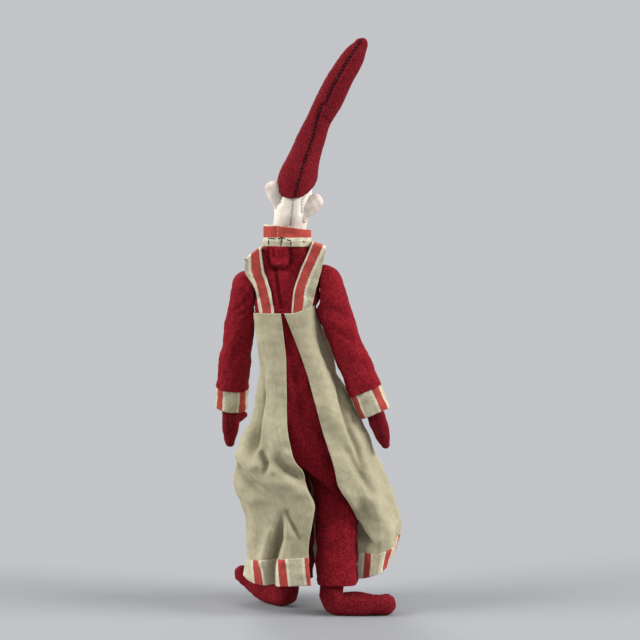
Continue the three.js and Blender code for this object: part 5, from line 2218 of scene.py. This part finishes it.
    def build(self) -> None:
        """Hangs the skirt, its hem band and the sewn lines."""
        reliefs = self.folds()
        skirt = self.surface(0.0, self.band_share + self.BAND_LAP, rows=164, columns=292, out=0.0)
        skirt = skirt.shaped(reliefs)
        self.skirt = thickened(skirt.mesh("pinafore_canvas"), CANVAS_THICK)
        flat = self.surface(self.band_share, 1.0, rows=26, columns=340, out=self.BAND_OUT)
        band = replace(flat.shaped(reliefs), laid=flat.points)
        whole = float(np.ptp(band.lengths()[0][0])) - self.STRIPE_END + self.STRIPE_START
        pitch = Finish.TICKING.value.pitch
        stretch = round(whole / pitch) * pitch / whole
        start = (self.STRIPE_START, 0.0)
        self.band = thickened(band.mesh("pinafore_hem_ticking", start=start, stretch=stretch), TICKING_THICK)
        rows, columns = skirt.points.shape[:2]
        across = np.linspace(0.0, columns - 1.1, self.SEWN_STEPS)
        down = np.full_like(across, rows * self.HEM_FOLD / self.SEWN_LENGTH)
        sewing = Stitching(length=1.6, gap=0.9, radius=0.16, rise=0.12, slant=0.1, seed=123)
        self.threads = sewing.sewn("pinafore_top_stitches", skirt.sample(down, across))

    def dress(self) -> None:
        dressed(self.skirt, Finish.CANVAS, "body", ["pinafore_skirt"])
        dressed(self.band, Finish.TICKING, "body", ["pinafore_hem_band"])
        dressed(self.threads, Finish.STRAW_THREAD, "body")


@dataclass
class Studio:
    """A pale paper floor, soft light from both sides and the camera behind the doll.

    Attributes:
        target: what the camera looks at, in millimetres.
        distance: how far off it stands, in millimetres.
        elevation: degrees above the level of the target.
        lens: focal length on a 36 mm sensor.
    """

    target: Triple = (-7.5, 6.0, 183.0)
    distance: float = 900.0
    elevation: float = 4.0
    lens: float = 81.0

    # Radii of the floor's rings, degrees that a lamp spans, and each lamp's name, direction and brightness.
    FLOOR = (200.0, 2000.0, 30000.0)
    SOFT = 28.0
    LAMPS = (
        ("key", (-0.85, 0.18, 0.5), 1.15),
        ("fill", (0.85, 0.18, 0.5), 0.95),
        ("front", (0.2, -0.8, 0.55), 0.5),
    )

    def build(self) -> None:
        """Sets up the floor, the lamps, the sky and the camera."""
        scene = bpy.context.scene
        scene.view_settings.view_transform = "Standard"
        self._floor()
        for lamp in self.LAMPS:
            self._lamp(*lamp)
        world = bpy.data.worlds.new("soft_sky")
        world.use_nodes = True
        world.node_tree.nodes.clear()
        sky = Shading(world.node_tree)
        light = sky.add("ShaderNodeBackground", {"Color": linear("f4f6fb"), "Strength": 0.6})
        sky.add("ShaderNodeOutputWorld", {"Surface": light.outputs[0]})
        scene.world = world
        lens = bpy.data.cameras.new("camera")
        lens.lens = self.lens
        camera = bpy.data.objects.new("camera", lens)
        scene.collection.objects.link(camera)
        tilt = math.radians(self.elevation)
        target = Vector(self.target) * MM
        away = Vector((0.0, math.cos(tilt), math.sin(tilt)))
        camera.location = target + away * self.distance * MM
        camera.rotation_mode = "QUATERNION"
        camera.rotation_quaternion = (-away).to_track_quat("-Z", "Y")
        scene.camera = camera

    def _floor(self) -> bpy.types.Object:
        """A wide round sheet of paper.

        Returns:
            The sheet, whose matt grey is as bright under this light as the sky behind it.
        """
        turn = np.linspace(0.0, FULL_TURN, 64, endpoint=False)[None, :]
        radius = np.array(self.FLOOR)[:, None]
        rings = np.stack(np.broadcast_arrays(radius * np.sin(turn), radius * np.cos(turn), 0.0), axis=-1)
        paper = Grid(rings, True, (True, False)).mesh("paper_floor")
        made, tree = Shading.material("matt_backdrop_paper")
        fibre = {"Base Color": linear("939496"), "Roughness": 1.0, "Specular IOR Level": 0.0}
        tree.finish(fibre)
        paper.data.materials.append(made)
        return paper

    def _lamp(self, name: str, towards: Triple, level: float) -> None:
        """A far, wide lamp, so that its light is even over the floor.

        Args:
            name: the lamp's name.
            towards: the direction that it stands in.
            level: brightness that it gives a white surface turned to it, 1 for white.
        """
        lamp = bpy.data.lights.new(name, "SUN")
        lamp.energy = level * math.pi
        lamp.angle = math.radians(self.SOFT)
        held = bpy.data.objects.new(name, lamp)
        bpy.context.scene.collection.objects.link(held)
        held.rotation_mode = "QUATERNION"
        held.rotation_quaternion = (-Vector(towards)).to_track_quat("-Z", "Y")


def left_arm() -> Arm:
    """The left arm.

    Returns:
        An arm that reaches forward a little, with folds inside its elbow.
    """
    wrinkles = (
        Crease(((35.0, 199.0, -0.9), (40.0, 193.0, -1.1), (44.0, 190.0, -0.7)), 1.8),
        Crease(((36.0, 190.0, -0.9), (42.0, 186.0, -0.9)), 1.6),
        Crease(((33.0, 182.0, 0.8), (42.0, 177.0, 0.9), (48.0, 176.0, 0.4)), 3.0),
        Crease(((36.0, 170.0, -0.7), (47.0, 164.0, -0.6)), 2.4),
        Crease(((40.0, 152.0, -0.5), (52.0, 148.0, -0.6)), 2.2),
    )
    seams = (((52.0, 121.6), (51.8, 115.0), (51.2, 108.5)), ((44.6, 121.8), (45.4, 117.0)))
    return Arm(
        side=Side.LEFT, out=10.0, forward=19.0, bow=1.5, hand_out=3.0, hand=26.0, underarm=-0.7,
        thumb_root=0.64, thumb=(-8.8, -2.4, 5.0), stripe=10.4, wrinkles=wrinkles, seams=seams,
    )


def right_arm() -> Arm:
    """The right arm.

    Returns:
        An arm that stands out from the body, with a fuller top.
    """
    wrinkles = (
        Crease(((-8.0, 196.0, -0.9), (-14.0, 190.0, -1.0), (-22.0, 188.0, -0.5)), 2.2),
        Crease(((-10.0, 186.0, 0.8), (-18.0, 180.0, 0.8)), 2.6),
        Crease(((-16.0, 178.0, -0.8), (-26.0, 172.0, -0.8)), 2.4),
        Crease(((-22.0, 160.0, -0.6), (-36.0, 156.0, -0.7)), 2.4),
    )
    seams = (((-41.4, 122.9), (-44.0, 115.6), (-46.4, 108.5)),)
    return Arm(
        side=Side.RIGHT, out=21.5, forward=-4.0, bow=-0.5, hand_out=18.0, hand=20.6, underarm=2.0,
        thumb_root=0.48, thumb=(0.0, -6.4, -2.2), cap=(12.2, 14.0), wrinkles=wrinkles, seams=seams,
    )


def straps(suit: Suit) -> list[Strap]:
    """Both straps.

    Args:
        suit: what they lie on.

    Returns:
        The left and the right one.
    """
    left = Strap(
        side=Side.LEFT, suit=suit, tops=(16.0, 25.5), crest=(227.5, 219.5), start=-1.7,
        behind=((8.0, 17.5), (10.5, 19.6), (14.0, 26.0)),
        ahead=((6.0, 16.0), (7.0, 17.0), (9.0, 19.0)),
    )
    right = Strap(
        side=Side.RIGHT, suit=suit, tops=(16.0, 24.5), crest=(230.5, 227.0), start=-1.2,
        behind=((3.0, 15.2), (4.5, 18.0), (8.0, 21.0)),
        ahead=((3.0, 14.0), (4.5, 16.0), (8.0, 19.0)),
    )
    return [left, right]


def legs() -> list[Leg]:
    """Both legs.

    Returns:
        The left one, which steps forward with raised toes, and the right one, which stands behind it.
    """
    left = Leg(
        side=Side.LEFT, ankle=(13.5, -5.0), heading=-36.0, toe_lift=10.8, toe=5.0, foot=28.6,
        trouser_x=Profile(((17.0, 9.6), (60.0, 9.8), (80.0, 10.6), (97.0, 11.2))),
        trouser_y=Profile(((17.0, -6.0), (97.0, -6.0))),
        width=Profile(((0.0, 8.6), (0.15, 10.4), (0.3, 11.5), (0.5, 12.6), (1.0, 12.8))),
        depth=Profile(((0.0, 7.0), (0.2, 8.0), (0.6, 9.8), (1.0, 9.8))),
    )
    right = Leg(
        side=Side.RIGHT, ankle=(-15.0, 14.0), heading=180.0, toe_lift=0.0, toe=6.1, foot=26.0,
        trouser_x=Profile((
            (17.0, -18.0), (60.0, -18.0), (70.0, -17.6), (78.0, -15.8), (86.0, -12.0), (97.0, -11.0),
        )),
        trouser_y=Profile(((17.0, 12.2), (60.0, 5.0), (72.0, 1.0), (80.0, -3.0), (97.0, -4.0))),
        width=Profile(((0.0, 9.2), (0.15, 11.6), (0.3, 12.6), (1.0, 12.9))),
        depth=Profile(((0.0, 8.0), (0.15, 10.4), (0.35, 11.4), (1.0, 10.6))),
    )
    return [left, right]


def main() -> None:
    """Builds and dresses every part of the doll, then the studio."""
    logging.basicConfig(level=logging.INFO, format="%(message)s")
    suit = Suit()
    parts = [Head(), Hat(), suit, Collar(), *straps(suit), left_arm(), right_arm(), *legs(), Pinafore()]
    for part in parts:
        part.build()
        part.dress()
    Studio().build()


if __name__ == "__main__":
    main()
